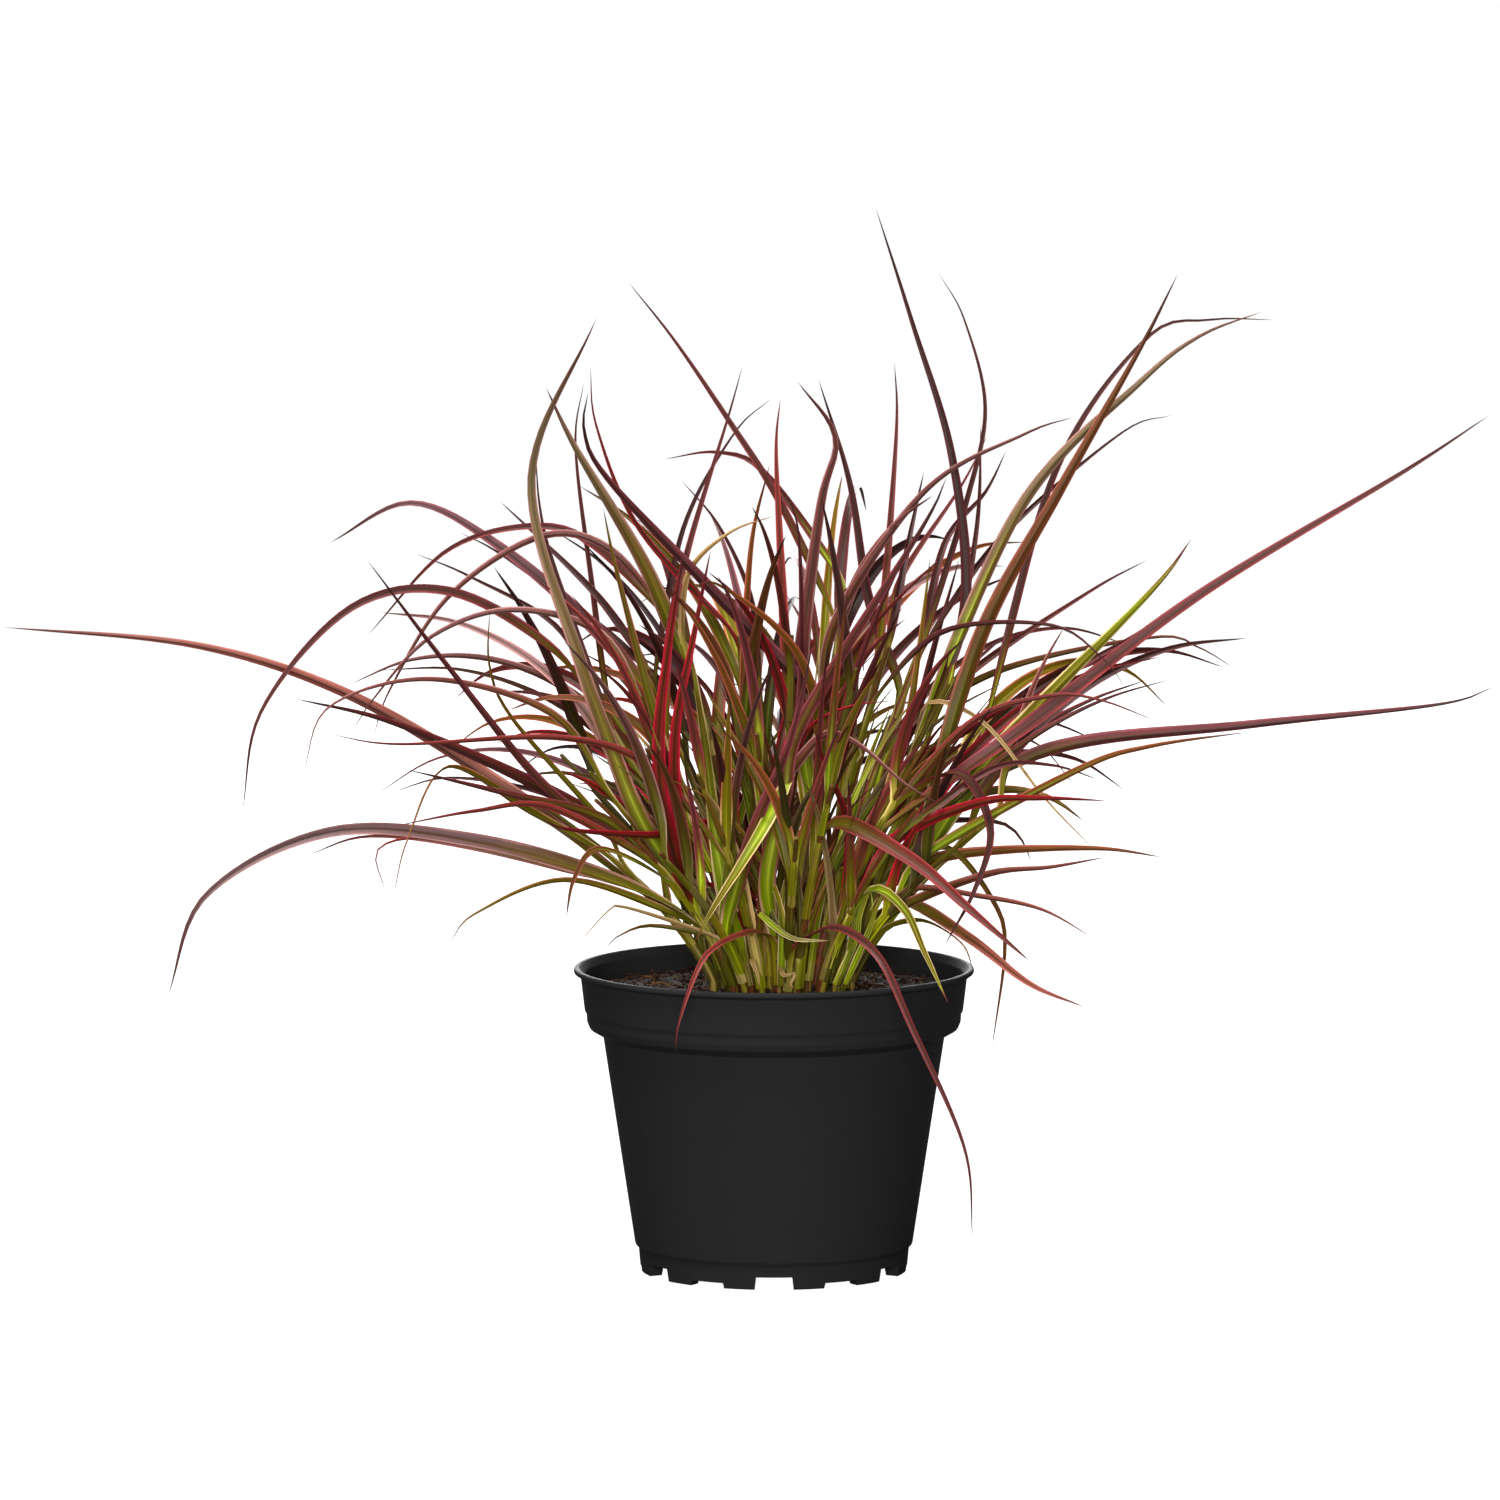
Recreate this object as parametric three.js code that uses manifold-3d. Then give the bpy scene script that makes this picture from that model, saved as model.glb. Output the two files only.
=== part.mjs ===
// Potted purple fountain grass: a black nursery pot filled with peat, and a clump of leafy stems
// that lean outward from the middle and arch over like a fountain.
// Millimetres, +Z up. The origin is the middle of the pot's base, in the plane it stands on.
import * as THREE from "three";
import { mergeVertices } from "three/addons/utils/BufferGeometryUtils.js";
import Module from "manifold-3d";

const wasm = await Module();
wasm.setup();

// Pot: outer sizes from the base up, and its wall
const potHeight = 145.5;
const rimRadius = 95.3;
const rimBand = { low: 119.8, top: 141.8, radiusLow: 89.1, radiusTop: 92.2 };
const bandStep = { low: 123.6, high: 125, radiusLow: 89.3, radiusHigh: 90.2 };
const lip = { low: 143.2, round: 0.8 };
const shoulder = { radius: 81.5, height: 113.2 };
const heel = { radius: 66.3, height: 13, lowRadius: 64.6, lowHeight: 11 };
const footRadius = { outer: 63.6, inner: 57 };
const floorHeight = { under: 6, top: 8.6 };
const wall = 1.8;
const centrePadRadius = 9;
const potSides = 36;
const footCount = 12;
const footGap = { low: 9.3, high: 8.5, shallow: 2.6 };
const drain = { radius: 4.5, ring: 49, count: 6 };

// Soil: a filled plug with a lumpy top
const soilTop = 134;
const soilLump = 1.6;
const soilSides = 30;
const soilRings = [78, 62, 47, 31, 15, 0];
const clearance = 0.3;
const wallGap = 0.8;

// Clump of stems
const stemCount = 42;
const clump = { x: 5, y: 0, radius: 35 };
const stemLength = { outer: 104, inner: 186 };
const stemLean = { inner: 5, outer: 46 };
const stemJitter = { turn: 0.05, lean: 1.5, length: [0.9, 1.1] };
const stemRadius = { foot: 2.7, low: 2.3, high: 1.7, top: 1.2 };
const stemSides = 5;
const stemSunk = 13;
const stemUpright = 4;

// Blades
const bladesPerStem = 5;
const bladeDepth = 1;
const bladeGap = 0.8;
const bladeTaper = { root: 0.5, fullness: 1.3, power: 0.8 };
const segmentLength = 37;
const fewestSegments = 3;
const seenFrom = { x: -11, y: -4600, z: 758 };
const facing = 70;
const bowPhase = 2.98;
const stemsToTry = 4;
const ruled = { root: [0.42, 0.97], width: [3.5, 6.5], spread: 0.9, pieces: 5, attempts: 30 };
const ruledBack = { length: [90, 200], rise: [52, 80], droop: [-50, 25] };
const ruledFront = { length: [70, 130], rise: [68, 86], droop: [25, 66] };

const up = new THREE.Vector3(0, 0, 1);
const radians = THREE.MathUtils.degToRad;
const lerp = THREE.MathUtils.lerp;
const goldenAngle = Math.PI * (3 - Math.sqrt(5));

// Seeded draws, the same on every run
function draws(seed) {
  let state = seed >>> 0;
  return (low = 0, high = 1) => {
    state = (state + 0x6d2b79f5) >>> 0;
    let t = Math.imul(state ^ (state >>> 15), 1 | state);
    t = (t + Math.imul(t ^ (t >>> 7), 61 | t)) ^ t;
    return low + (high - low) * (((t ^ (t >>> 14)) >>> 0) / 4294967296);
  };
}

// A three.js geometry as a solid that can be cut and joined, and back
function solidOf(geometry) {
  const bare = geometry.clone();
  bare.deleteAttribute("normal");
  bare.deleteAttribute("uv");
  const merged = mergeVertices(bare, 1e-4);
  return new wasm.Manifold(
    new wasm.Mesh({
      numProp: 3,
      vertProperties: new Float32Array(merged.attributes.position.array),
      triVerts: new Uint32Array(merged.index.array),
    }),
  );
}

function meshOf(name, solid, material) {
  const made = solid.getMesh();
  const geometry = new THREE.BufferGeometry();
  geometry.setAttribute("position", new THREE.BufferAttribute(made.vertProperties, 3));
  geometry.setIndex(new THREE.BufferAttribute(made.triVerts, 1));
  geometry.computeVertexNormals();
  const mesh = new THREE.Mesh(geometry, material);
  mesh.name = name;
  return mesh;
}

// A closed skin over a row of rings, each a list of points that runs anticlockwise when seen from
// the far end. The last ring may be a single point. Each four-sided face folds outward.
function loft(rings) {
  const corners = [];
  const triangle = (a, b, c) => corners.push(...a.toArray(), ...b.toArray(), ...c.toArray());
  const face = (a, b, c, d) => {
    const across = c.clone().sub(a);
    const other = d.clone().sub(b);
    const outward = across.clone().cross(other);
    const rise = a.clone().add(c).sub(b).sub(d).dot(outward);
    if (rise > 0) {
      triangle(a, b, c);
      triangle(a, c, d);
    } else {
      triangle(a, b, d);
      triangle(b, c, d);
    }
  };
  for (let i = 0; i + 1 < rings.length; i++) {
    const [low, high] = [rings[i], rings[i + 1]];
    low.forEach((point, k) => {
      const next = (k + 1) % low.length;
      if (high.length === 1) triangle(point, low[next], high[0]);
      else face(point, low[next], high[next], high[k]);
    });
  }
  const [first, last] = [rings[0], rings.at(-1)];
  for (let k = 1; k + 1 < first.length; k++) triangle(first[0], first[k + 1], first[k]);
  for (let k = 1; k + 1 < last.length; k++) triangle(last[0], last[k], last[k + 1]);
  const geometry = new THREE.BufferGeometry();
  geometry.setAttribute("position", new THREE.Float32BufferAttribute(corners, 3));
  return geometry;
}

// A profile of [radius, height] points turned about the upright axis
function turned(profile, sides) {
  const points = profile.map(([radius, height]) => new THREE.Vector2(radius, height));
  return new THREE.LatheGeometry(points, sides).rotateX(Math.PI / 2);
}

function upright(radius, low, high, sides) {
  const rod = new THREE.CylinderGeometry(radius, radius, high - low, sides).rotateX(Math.PI / 2);
  return rod.translate(0, 0, (low + high) / 2);
}

// Pot
function makePot() {
  const outside = [
    [0, 0],
    [centrePadRadius, 0],
    [centrePadRadius + 1, floorHeight.under],
    [footRadius.inner - 1, floorHeight.under],
    [footRadius.inner, 0],
    [footRadius.outer, 0],
    [heel.lowRadius, heel.lowHeight],
    [heel.radius, heel.height],
    [shoulder.radius, shoulder.height],
    [rimBand.radiusLow - 1.2, rimBand.low - 3],
    [rimBand.radiusLow, rimBand.low],
    [bandStep.radiusLow, bandStep.low],
    [bandStep.radiusHigh, bandStep.high],
    [rimBand.radiusTop, rimBand.top],
    [rimRadius, lip.low],
    [rimRadius, potHeight - lip.round],
    [rimRadius - lip.round, potHeight],
  ];
  const inside = [
    [rimBand.radiusTop + lip.round, potHeight],
    [rimBand.radiusTop - wall, rimBand.top],
    [rimBand.radiusLow - wall, rimBand.low],
    [shoulder.radius - wall, shoulder.height],
    [heel.radius - wall, heel.height],
    [heel.radius - 2 * wall, floorHeight.top],
    [0, floorHeight.top],
  ];
  let pot = solidOf(turned([...outside, ...inside], potSides));
  for (let i = 0; i < footCount; i++) {
    const deep = i % 2 === 0;
    const high = deep ? floorHeight.under : footGap.shallow;
    const gap = new THREE.Shape([
      new THREE.Vector2(-footGap.low, -1),
      new THREE.Vector2(footGap.low, -1),
      new THREE.Vector2(footGap.high, high),
      new THREE.Vector2(-footGap.high, high),
    ]);
    const cutter = new THREE.ExtrudeGeometry(gap, { depth: 20, bevelEnabled: false });
    cutter.rotateX(Math.PI / 2).translate(0, -50, 0);
    cutter.rotateZ((i * 2 * Math.PI) / footCount);
    pot = pot.subtract(solidOf(cutter));
  }
  for (let i = 0; i < drain.count; i++) {
    const hole = upright(drain.radius, 0, 2 * floorHeight.top, 12).translate(0, -drain.ring, 0);
    pot = pot.subtract(solidOf(hole.rotateZ((i * 2 * Math.PI) / drain.count)));
  }
  return pot;
}

// Stems: a sunflower's spiral of feet, each leaning out from the middle of the clump
function makeStem(i) {
  const draw = draws(1000 + i);
  const share = Math.sqrt((i + 0.5) / stemCount);
  const turn = i * goldenAngle + draw(-stemJitter.turn, stemJitter.turn);
  const foot = new THREE.Vector3(
    clump.x + clump.radius * share * Math.cos(turn),
    clump.y + clump.radius * share * Math.sin(turn),
    soilTop + stemUpright,
  );
  const uneven = draw(-stemJitter.lean, stemJitter.lean);
  const lean = radians(lerp(stemLean.inner, stemLean.outer, share ** 1.4) + uneven);
  const length = lerp(stemLength.inner, stemLength.outer, share ** 1.5) * draw(...stemJitter.length);
  const outward = new THREE.Vector3(Math.cos(turn), Math.sin(turn), 0);
  const along = (angle, reach) =>
    foot
      .clone()
      .addScaledVector(outward, reach * Math.sin(angle))
      .addScaledVector(up, reach * Math.cos(angle));
  const curve = new THREE.QuadraticBezierCurve3(foot, along(lean / 2, 0.35 * length), along(lean, length));
  return { index: i, turn, lean, length, foot, curve, blades: [] };
}

function stemRing(centre, direction, radius) {
  const side = new THREE.Vector3(1, 0, 0).addScaledVector(direction, -direction.x).normalize();
  const other = direction.clone().cross(side);
  return Array.from({ length: stemSides }, (_, k) => {
    const angle = (k * 2 * Math.PI) / stemSides;
    return centre
      .clone()
      .addScaledVector(side, radius * Math.cos(angle))
      .addScaledVector(other, radius * Math.sin(angle));
  });
}

function stemSolid(stem, extra = 0) {
  const bottom = stem.foot.clone().setZ(soilTop - stemSunk);
  const rings = [
    stemRing(bottom, up, stemRadius.foot + extra),
    stemRing(stem.foot, up, stemRadius.foot + extra),
  ];
  const steps = [
    [0.35, stemRadius.low],
    [0.7, stemRadius.high],
    [1, stemRadius.top],
  ];
  for (const [at, radius] of steps)
    rings.push(stemRing(stem.curve.getPoint(at), stem.curve.getTangent(at), radius + extra));
  return solidOf(loft(rings));
}

// Blades that show best: width, depth of the tip behind the pot's axis, and points from stem to tip
// as they are seen from the front, each [to the right, up]. A third value is the point's own depth.
const seenBlades = [
  // left, the long reaching ones first
  [7, -20, [[-57, 169], [-83, 196], [-130, 232], [-201, 275], [-273, 299], [-366, 308]]],
  [8, -100, [[-40, 161], [-73, 185], [-140, 205], [-211, 210], [-270, 180], [-289, 131]]],
  [5, -60, [[-80, 255], [-106, 298], [-154, 325], [-201, 317], [-243, 269], [-253, 219]]],
  [7, 40, [[-45, 255], [-83, 305], [-130, 346], [-172, 367], [-211, 348]]],
  [5, -90, [[-35, 178], [-59, 195], [-107, 230], [-154, 288], [-193, 340]]],
  [4, 30, [[-40, 307], [-83, 345], [-111, 356], [-154, 345], [-193, 304]]],
  [3, 60, [[-71, 274], [-102, 307], [-144, 332], [-170, 343]]],
  [3, 80, [[-64, 279], [-87, 312], [-130, 343], [-149, 353]]],
  [4, -30, [[-57, 264], [-83, 305], [-125, 316], [-163, 303], [-190, 274], [-201, 257]]],
  [4, 0, [[-49, 303], [-78, 345], [-111, 351], [-154, 323], [-182, 279], [-191, 254]]],
  [4, -100, [[-64, 226], [-106, 267], [-163, 283], [-211, 270], [-224, 238]]],
  [7, -60, [[-54, 193], [-107, 229], [-178, 261], [-228, 274]]],
  [4, -130, [[-14, 197], [-59, 241], [-102, 255], [-178, 252], [-212, 257]]],
  [3, -40, [[-61, 188], [-83, 216], [-124, 264], [-135, 289], [-135, 316]]],
  [5, -110, [[-54, 193], [-83, 217], [-130, 229], [-175, 240]]],
  [3, 20, [[-69, 202], [-111, 229], [-154, 236], [-182, 229]]],
  [4, -150, [[-78, 193], [-116, 220], [-155, 241], [-174, 207], [-181, 181]]],
  [4, -120, [[-59, 197], [-107, 222], [-142, 220], [-180, 213]]],
  [4, 30, [[-73, 178], [-140, 202], [-192, 208], [-222, 199]]],
  [4, -60, [[-59, 173], [-102, 197], [-159, 207], [-188, 202], [-185, 181]]],
  [4, -70, [[-50, 161], [-97, 187], [-142, 171], [-155, 156]]],
  [4, -110, [[-54, 188], [-83, 202], [-95, 188], [-99, 169]]],
  [4, -90, [[-47, 157], [-71, 174], [-80, 171], [-92, 158]]],
  [3, -60, [[-35, 152], [-57, 165], [-74, 160], [-80, 154]]],
  [6, -130, [[-11, 197], [-30, 213], [-54, 208], [-97, 211], [-111, 217]]],
  [6, -20, [[-42, 183], [-64, 214], [-83, 231], [-102, 240]]],
  [4, 70, [[-61, 283], [-83, 322], [-111, 350], [-130, 368]]],
  // upper middle
  [4, 20, [[34, 303], [3, 367], [-22, 407], [-47, 444], [-69, 472]]],
  [8, -70, [[-37, 159], [-62, 213, -68], [-77, 250, -80], [-92, 293, -84], [-115, 379], [-84, 455]]],
  [3, 10, [[-83, 288], [-104, 336], [-111, 365], [-113, 393]]],
  [8, -20, [[-40, 274], [-61, 336], [-94, 393], [-108, 422]]],
  [3, 40, [[-33, 293], [-64, 355], [-84, 403], [-87, 432]]],
  [7, -50, [[27, 255], [-35, 331], [-80, 380], [-90, 402], [-88, 420]]],
  [3, 90, [[-71, 279], [-86, 326], [-94, 393], [-90, 425]]],
  [4, 0, [[-52, 250], [-50, 303], [-40, 348], [-22, 407], [-15, 432]]],
  [3, 50, [[-54, 274], [-43, 355], [-19, 400], [-1, 417]]],
  [4, 100, [[10, 336], [-4, 381], [-26, 391], [-52, 388]]],
  [3, 60, [[-1, 274], [-11, 322], [-26, 356], [-44, 378]]],
  [5, -10, [[-14, 231], [-14, 274], [-11, 345], [-2, 386]]],
  [5, 20, [[12, 264], [3, 345], [1, 393], [3, 417]]],
  [4, -90, [[10, 236], [13, 283], [12, 348], [7, 370]]],
  [5, 60, [[47, 269], [45, 322], [36, 376], [21, 426]]],
  [8, -40, [[10, 226], [12, 279], [22, 365], [29, 398], [11, 425]]],
  [3, -60, [[-50, 298], [-40, 335], [-21, 353], [0, 361]]],
  [7, -76, [[-40, 178], [-46, 212, -66], [-47, 258, -72], [-39, 300, -74], [-30, 345]]],
  [5, -60, [[-47, 226], [-59, 274], [-75, 336], [-81, 365]]],
  [5, -110, [[29, 231], [18, 279], [3, 306], [-28, 329], [-40, 325]]],
  // upper right, with the tallest
  [5, 20, [[79, 264], [91, 322], [84, 391], [65, 454], [48, 507]]],
  [3, 80, [[74, 312], [91, 367], [100, 412], [90, 454], [78, 476]]],
  [4, 40, [[43, 279], [53, 331], [58, 403], [57, 434]]],
  [5, -30, [[15, 264], [29, 310], [72, 373], [119, 400], [142, 408]]],
  [4, 90, [[55, 303], [81, 348], [100, 372], [110, 392]]],
  [3, 110, [[84, 303], [96, 355], [98, 405]]],
  [3, 60, [[46, 293], [60, 331], [88, 374], [101, 399]]],
  [4, 20, [[53, 303], [64, 350], [71, 382]]],
  [8, -90, [[-6, 157], [-3, 188, -58], [5, 228, -71], [14, 264, -75], [70, 355, -88], [82, 380]]],
  [4, -60, [[12, 240], [27, 279], [50, 312], [81, 343]]],
  [8, -50, [[53, 207], [98, 303], [136, 374], [173, 440], [191, 476]]],
  [7, -20, [[55, 245], [117, 365], [173, 424], [201, 446], [231, 458]]],
  [4, 50, [[93, 307], [133, 381], [176, 445], [206, 454], [237, 454]]],
  [3, 80, [[69, 288], [107, 350], [164, 400], [189, 409]]],
  // right
  [7, -30, [[50, 212], [122, 262], [202, 323], [297, 381], [339, 409]]],
  [4, 60, [[84, 240], [136, 283], [171, 304], [192, 319]]],
  [9, -80, [[53, 171], [74, 202], [107, 250], [178, 324], [198, 350]]],
  [4, 90, [[58, 240], [93, 286], [150, 325], [177, 340]]],
  [3, -60, [[55, 274], [81, 306], [131, 309], [155, 294], [168, 278]]],
  [4, 30, [[50, 240], [107, 287], [180, 303], [202, 298], [219, 288]]],
  [4, -70, [[41, 217], [93, 262], [131, 275], [155, 273], [182, 263]]],
  [7, 0, [[55, 207], [131, 249], [226, 261], [316, 271], [343, 280]]],
  [5, -100, [[46, 173], [74, 200], [145, 240], [179, 251], [226, 258]]],
  [4, -40, [[55, 212], [103, 240], [131, 242], [155, 235]]],
  [6, -110, [[36, 183], [60, 208], [98, 224], [127, 226], [159, 225]]],
  [6, -60, [[43, 176], [74, 196], [108, 201], [155, 202], [185, 198]]],
  [5, -90, [[43, 157], [65, 176], [103, 190], [131, 193], [158, 198]]],
  [4, -110, [[43, 169], [65, 182], [98, 179], [127, 173], [151, 160]]],
  [8, -140, [[10, 197], [29, 214], [65, 197], [93, 173], [122, 148]]],
  [6, -130, [[41, 164], [62, 176], [93, 159], [122, 137], [148, 126]]],
  [3, -60, [[55, 193], [84, 202], [105, 176], [110, 154], [104, 106]]],
  [5, -120, [[55, 226], [88, 238], [103, 212], [96, 183], [81, 155]]],
  [3, 20, [[69, 207], [105, 215], [116, 209], [123, 195]]],
  [4, -100, [[46, 245], [74, 272], [100, 262], [129, 226], [153, 201]]],
  [5, -110, [[31, 164], [46, 182], [62, 173], [72, 152], [83, 128]]],
  [4, -90, [[43, 157], [72, 167], [89, 157], [95, 144]]],
  [4, -20, [[55, 226], [98, 262], [122, 278]]],
  [4, 40, [[50, 245], [86, 283], [113, 307]]],
  // middle
  [5, -20, [[43, 202], [62, 255], [69, 298], [74, 341]]],
  [5, 30, [[48, 221], [67, 264], [76, 298], [88, 341]]],
  [5, -140, [[5, 226], [22, 255], [39, 252], [62, 233], [80, 223]]],
  [3, -110, [[-3, 197], [8, 240], [17, 260], [36, 270], [58, 273]]],
  [7, -94, [[-37, 161], [-9, 212, -84], [8, 255, -94], [18, 298]]],
  [4, -100, [[34, 178], [35, 214], [24, 243], [19, 260]]],
  [8, -74, [[-19, 154], [-24, 184, -56], [-29, 220, -66], [-34, 260, -72], [-40, 298]]],
  [8, -88, [[-44, 178], [-52, 218, -78], [-55, 255, -84], [-50, 300, -88], [-43, 345]]],
  [5, -40, [[8, 188], [-4, 226], [-35, 283]]],
  [5, -60, [[-19, 157], [12, 183], [50, 205], [74, 217]]],
  // hanging over the rim at the front
  [5, -110, [[1, 157], [-14, 161, -64], [-33, 150, -92], [-45, 120, -106], [-47, 104, -108]]],
  [5, -124, [[8, 154], [30, 164, -70], [50, 150, -98], [66, 116, -112], [91, 58, -120], [95, 14, -124]]],
];

// The place of a point that is seen at x and z in the plane of the pot's axis, moved to depth y
function seen(x, z, y) {
  const share = (y - seenFrom.y) / -seenFrom.y;
  return new THREE.Vector3(lerp(seenFrom.x, x, share), y, lerp(seenFrom.z, z, share));
}

function stemShare(stem, z) {
  const top = stem.curve.getPoint(1).z;
  return THREE.MathUtils.clamp((z - stem.foot.z) / (top - stem.foot.z), 0.12, 0.97);
}

// The stem that a seen blade grows from: near its first point, on its side, and not yet crowded
function bestStems(stems, [, depth, points]) {
  const [x, z] = points[0];
  const cost = (stem) => {
    const at = stem.curve.getPoint(stemShare(stem, z));
    const far = Math.abs(at.x - x) + 0.5 * Math.abs(at.z - z) + 0.35 * Math.abs(at.y - depth / 4);
    return far + 5 * stem.blades.length;
  };
  return [...stems].sort((a, b) => cost(a) - cost(b));
}

function seenPath(stem, [, depth, points], bow, shift) {
  const root = stem.curve.getPoint(stemShare(stem, points[0][1]));
  const reach = [0];
  for (let i = 1; i < points.length; i++) {
    const [dx, dz] = [points[i][0] - points[i - 1][0], points[i][1] - points[i - 1][1]];
    reach.push(reach[i - 1] + Math.hypot(dx, dz));
  }
  return points.map(([x, z, own], i) => {
    if (i === 0) return root;
    const share = reach[i] / reach.at(-1);
    const y = own ?? lerp(root.y, depth, share ** 1.3);
    return seen(x, z, y + shift * share + bow * Math.sin(bowPhase * share));
  });
}

// Blades by rule: each leaves its stem, rises and droops outward, most of them to the back
function ruledPath(stem, slot, attempt) {
  const draw = draws(50000 + stem.index * 997 + slot * 131 + attempt * 7);
  const root = stem.curve.getPoint(draw(...ruled.root));
  const heading = stem.turn + draw(-ruled.spread, ruled.spread);
  const kind = Math.sin(heading) > -0.2 ? ruledBack : ruledFront;
  const length = draw(...kind.length);
  const rise = radians(draw(...kind.rise));
  const droop = radians(draw(...kind.droop));
  const points = [root];
  for (let i = 0; i < ruled.pieces; i++) {
    const slope = lerp(rise, droop, ((i + 0.5) / ruled.pieces) ** 1.15);
    const step = new THREE.Vector3(
      Math.cos(slope) * Math.cos(heading),
      Math.cos(slope) * Math.sin(heading),
      Math.sin(slope),
    );
    points.push(points[i].clone().addScaledVector(step, length / ruled.pieces));
  }
  return { points, width: draw(...ruled.width) };
}

// A blade's section is a flat top over a keel. It widens from its root, then tapers to its tip.
function bladeSolid(points, width, extra = 0) {
  const curve = new THREE.CatmullRomCurve3(points, false, "catmullrom", 0.5);
  const run = points.slice(1).reduce((sum, point, i) => sum + point.distanceTo(points[i]), 0);
  const steps = Math.max(fewestSegments, Math.round(run / segmentLength));
  const span = points.at(-1).clone().sub(points[0]);
  const heading = Math.atan2(span.y, span.x);
  const level = new THREE.Vector3(-Math.sin(heading), Math.cos(heading), 0);
  const roll = radians(facing) * level.y * (span.y * span.z < 0 ? -1 : 1);
  const rings = [];
  for (let i = 0; i < steps; i++) {
    const share = i / steps;
    const centre = curve.getPoint(share);
    const direction = curve.getTangent(share);
    const side = level.clone().addScaledVector(direction, -level.dot(direction)).normalize();
    const above = direction.clone().cross(side);
    const across = side.clone().multiplyScalar(Math.cos(roll)).addScaledVector(above, Math.sin(roll));
    const normal = direction.clone().cross(across);
    const narrowing = bladeTaper.fullness * (1 - share) ** bladeTaper.power;
    const taper = i === 0 ? bladeTaper.root : Math.min(1, narrowing);
    const half = (width * taper + extra) / 2;
    const keel = bladeDepth * (0.6 + 0.4 * taper) + extra / 2;
    rings.push([
      centre.clone().addScaledVector(across, half).addScaledVector(normal, extra / 2),
      centre.clone().addScaledVector(across, -half).addScaledVector(normal, extra / 2),
      centre.clone().addScaledVector(normal, -keel),
    ]);
  }
  rings.push([points.at(-1)]);
  return solidOf(loft(rings));
}

// Small bends first: a bow of the blade's middle and a shift of its tip, both in depth
const bends = [];
for (const bow of [0, 9, -9, 17, -17, 27, -27])
  for (const shift of [0, 10, -10, 20, -20, 32, -32, 46, -46, 60, -60]) bends.push([bow, shift]);
bends.sort((a, b) => 1.5 * Math.abs(a[0]) + Math.abs(a[1]) - 1.5 * Math.abs(b[0]) - Math.abs(b[1]));

function makeSoil(stems) {
  const plug = [
    [0, floorHeight.top + clearance],
    [heel.radius - 2 * wall - wallGap, floorHeight.top + clearance],
    [heel.radius - wall - wallGap, heel.height],
    [shoulder.radius - wall - wallGap, shoulder.height],
    [rimBand.radiusLow - wall - wallGap, rimBand.low],
    [rimBand.radiusTop - wall - 3 * wallGap, soilTop - 1],
    ...soilRings.map((radius) => [radius, soilTop]),
  ];
  const geometry = turned(plug, soilSides);
  const position = geometry.attributes.position;
  for (let i = 0; i < position.count; i++) {
    const [x, y, z] = [position.getX(i), position.getY(i), position.getZ(i)];
    if (z < soilTop - 0.5) continue;
    const lump = Math.sin(x / 9) * Math.cos(y / 7) + 0.6 * Math.sin((x + y) / 4.5);
    position.setZ(i, soilTop + soilLump * lump);
  }
  let soil = solidOf(geometry);
  for (const stem of stems) {
    const radius = stemRadius.foot + clearance + 0.1;
    const hole = upright(radius, soilTop - stemSunk - clearance, soilTop + 9, stemSides);
    hole.rotateZ(Math.PI / 2).translate(stem.foot.x, stem.foot.y, 0);
    soil = soil.subtract(solidOf(hole));
  }
  return soil;
}

// Fit the blades: each takes the first bend that keeps it clear of every other stem's own pieces
const stems = Array.from({ length: stemCount }, (_, i) => makeStem(i));
const pot = makePot();
const soil = makeSoil(stems);
const boxed = (solid) => ({ solid, box: solid.boundingBox() });
const holder = [boxed(pot), boxed(soil)];
for (const stem of stems) stem.pieces = [boxed(stemSolid(stem))];

function boxesMeet(a, b) {
  return [0, 1, 2].every((axis) => a.min[axis] <= b.max[axis] && b.min[axis] <= a.max[axis]);
}

function isClear(stem, path, width) {
  const blade = boxed(bladeSolid(path, width, bladeGap));
  const others = stems.filter((other) => other !== stem).flatMap((other) => other.pieces);
  return [...holder, ...others].every(
    (other) => !boxesMeet(blade.box, other.box) || blade.solid.intersect(other.solid).isEmpty(),
  );
}

function place(stem, path, width) {
  stem.blades.push(path);
  stem.pieces.push(boxed(bladeSolid(path, width)));
}

for (const blade of seenBlades) {
  const width = blade[0];
  for (const stem of bestStems(stems, blade).slice(0, stemsToTry)) {
    const bend = bends.find((pair) => isClear(stem, seenPath(stem, blade, ...pair), width));
    if (!bend) continue;
    place(stem, seenPath(stem, blade, ...bend), width);
    break;
  }
}

for (const stem of stems) {
  for (let slot = stem.blades.length; slot < bladesPerStem; slot++) {
    for (let attempt = 0; attempt < ruled.attempts; attempt++) {
      const { points, width } = ruledPath(stem, slot, attempt);
      if (!isClear(stem, points, width)) continue;
      place(stem, points, width);
      break;
    }
  }
}

// Scene graph
const blackPlastic = new THREE.MeshStandardMaterial({ color: 0x1f1f21, roughness: 0.5 });
const peat = new THREE.MeshStandardMaterial({ color: 0x3a2a1e, roughness: 1 });
const leafTones = [0x5c2337, 0x6e2c3a, 0x4c1e30, 0x6b5a2c].map(
  (color) => new THREE.MeshStandardMaterial({ color, roughness: 0.55 }),
);

const plant = new THREE.Group();
plant.add(meshOf("pot", pot, blackPlastic));
plant.add(meshOf("soil", soil, peat));
for (const stem of stems) {
  const name = "leafy_stem_" + String(stem.index + 1).padStart(2, "0");
  const whole = wasm.Manifold.union(stem.pieces.map((piece) => piece.solid));
  plant.add(meshOf(name, whole, leafTones[stem.index % leafTones.length]));
}

export default plant;
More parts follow.
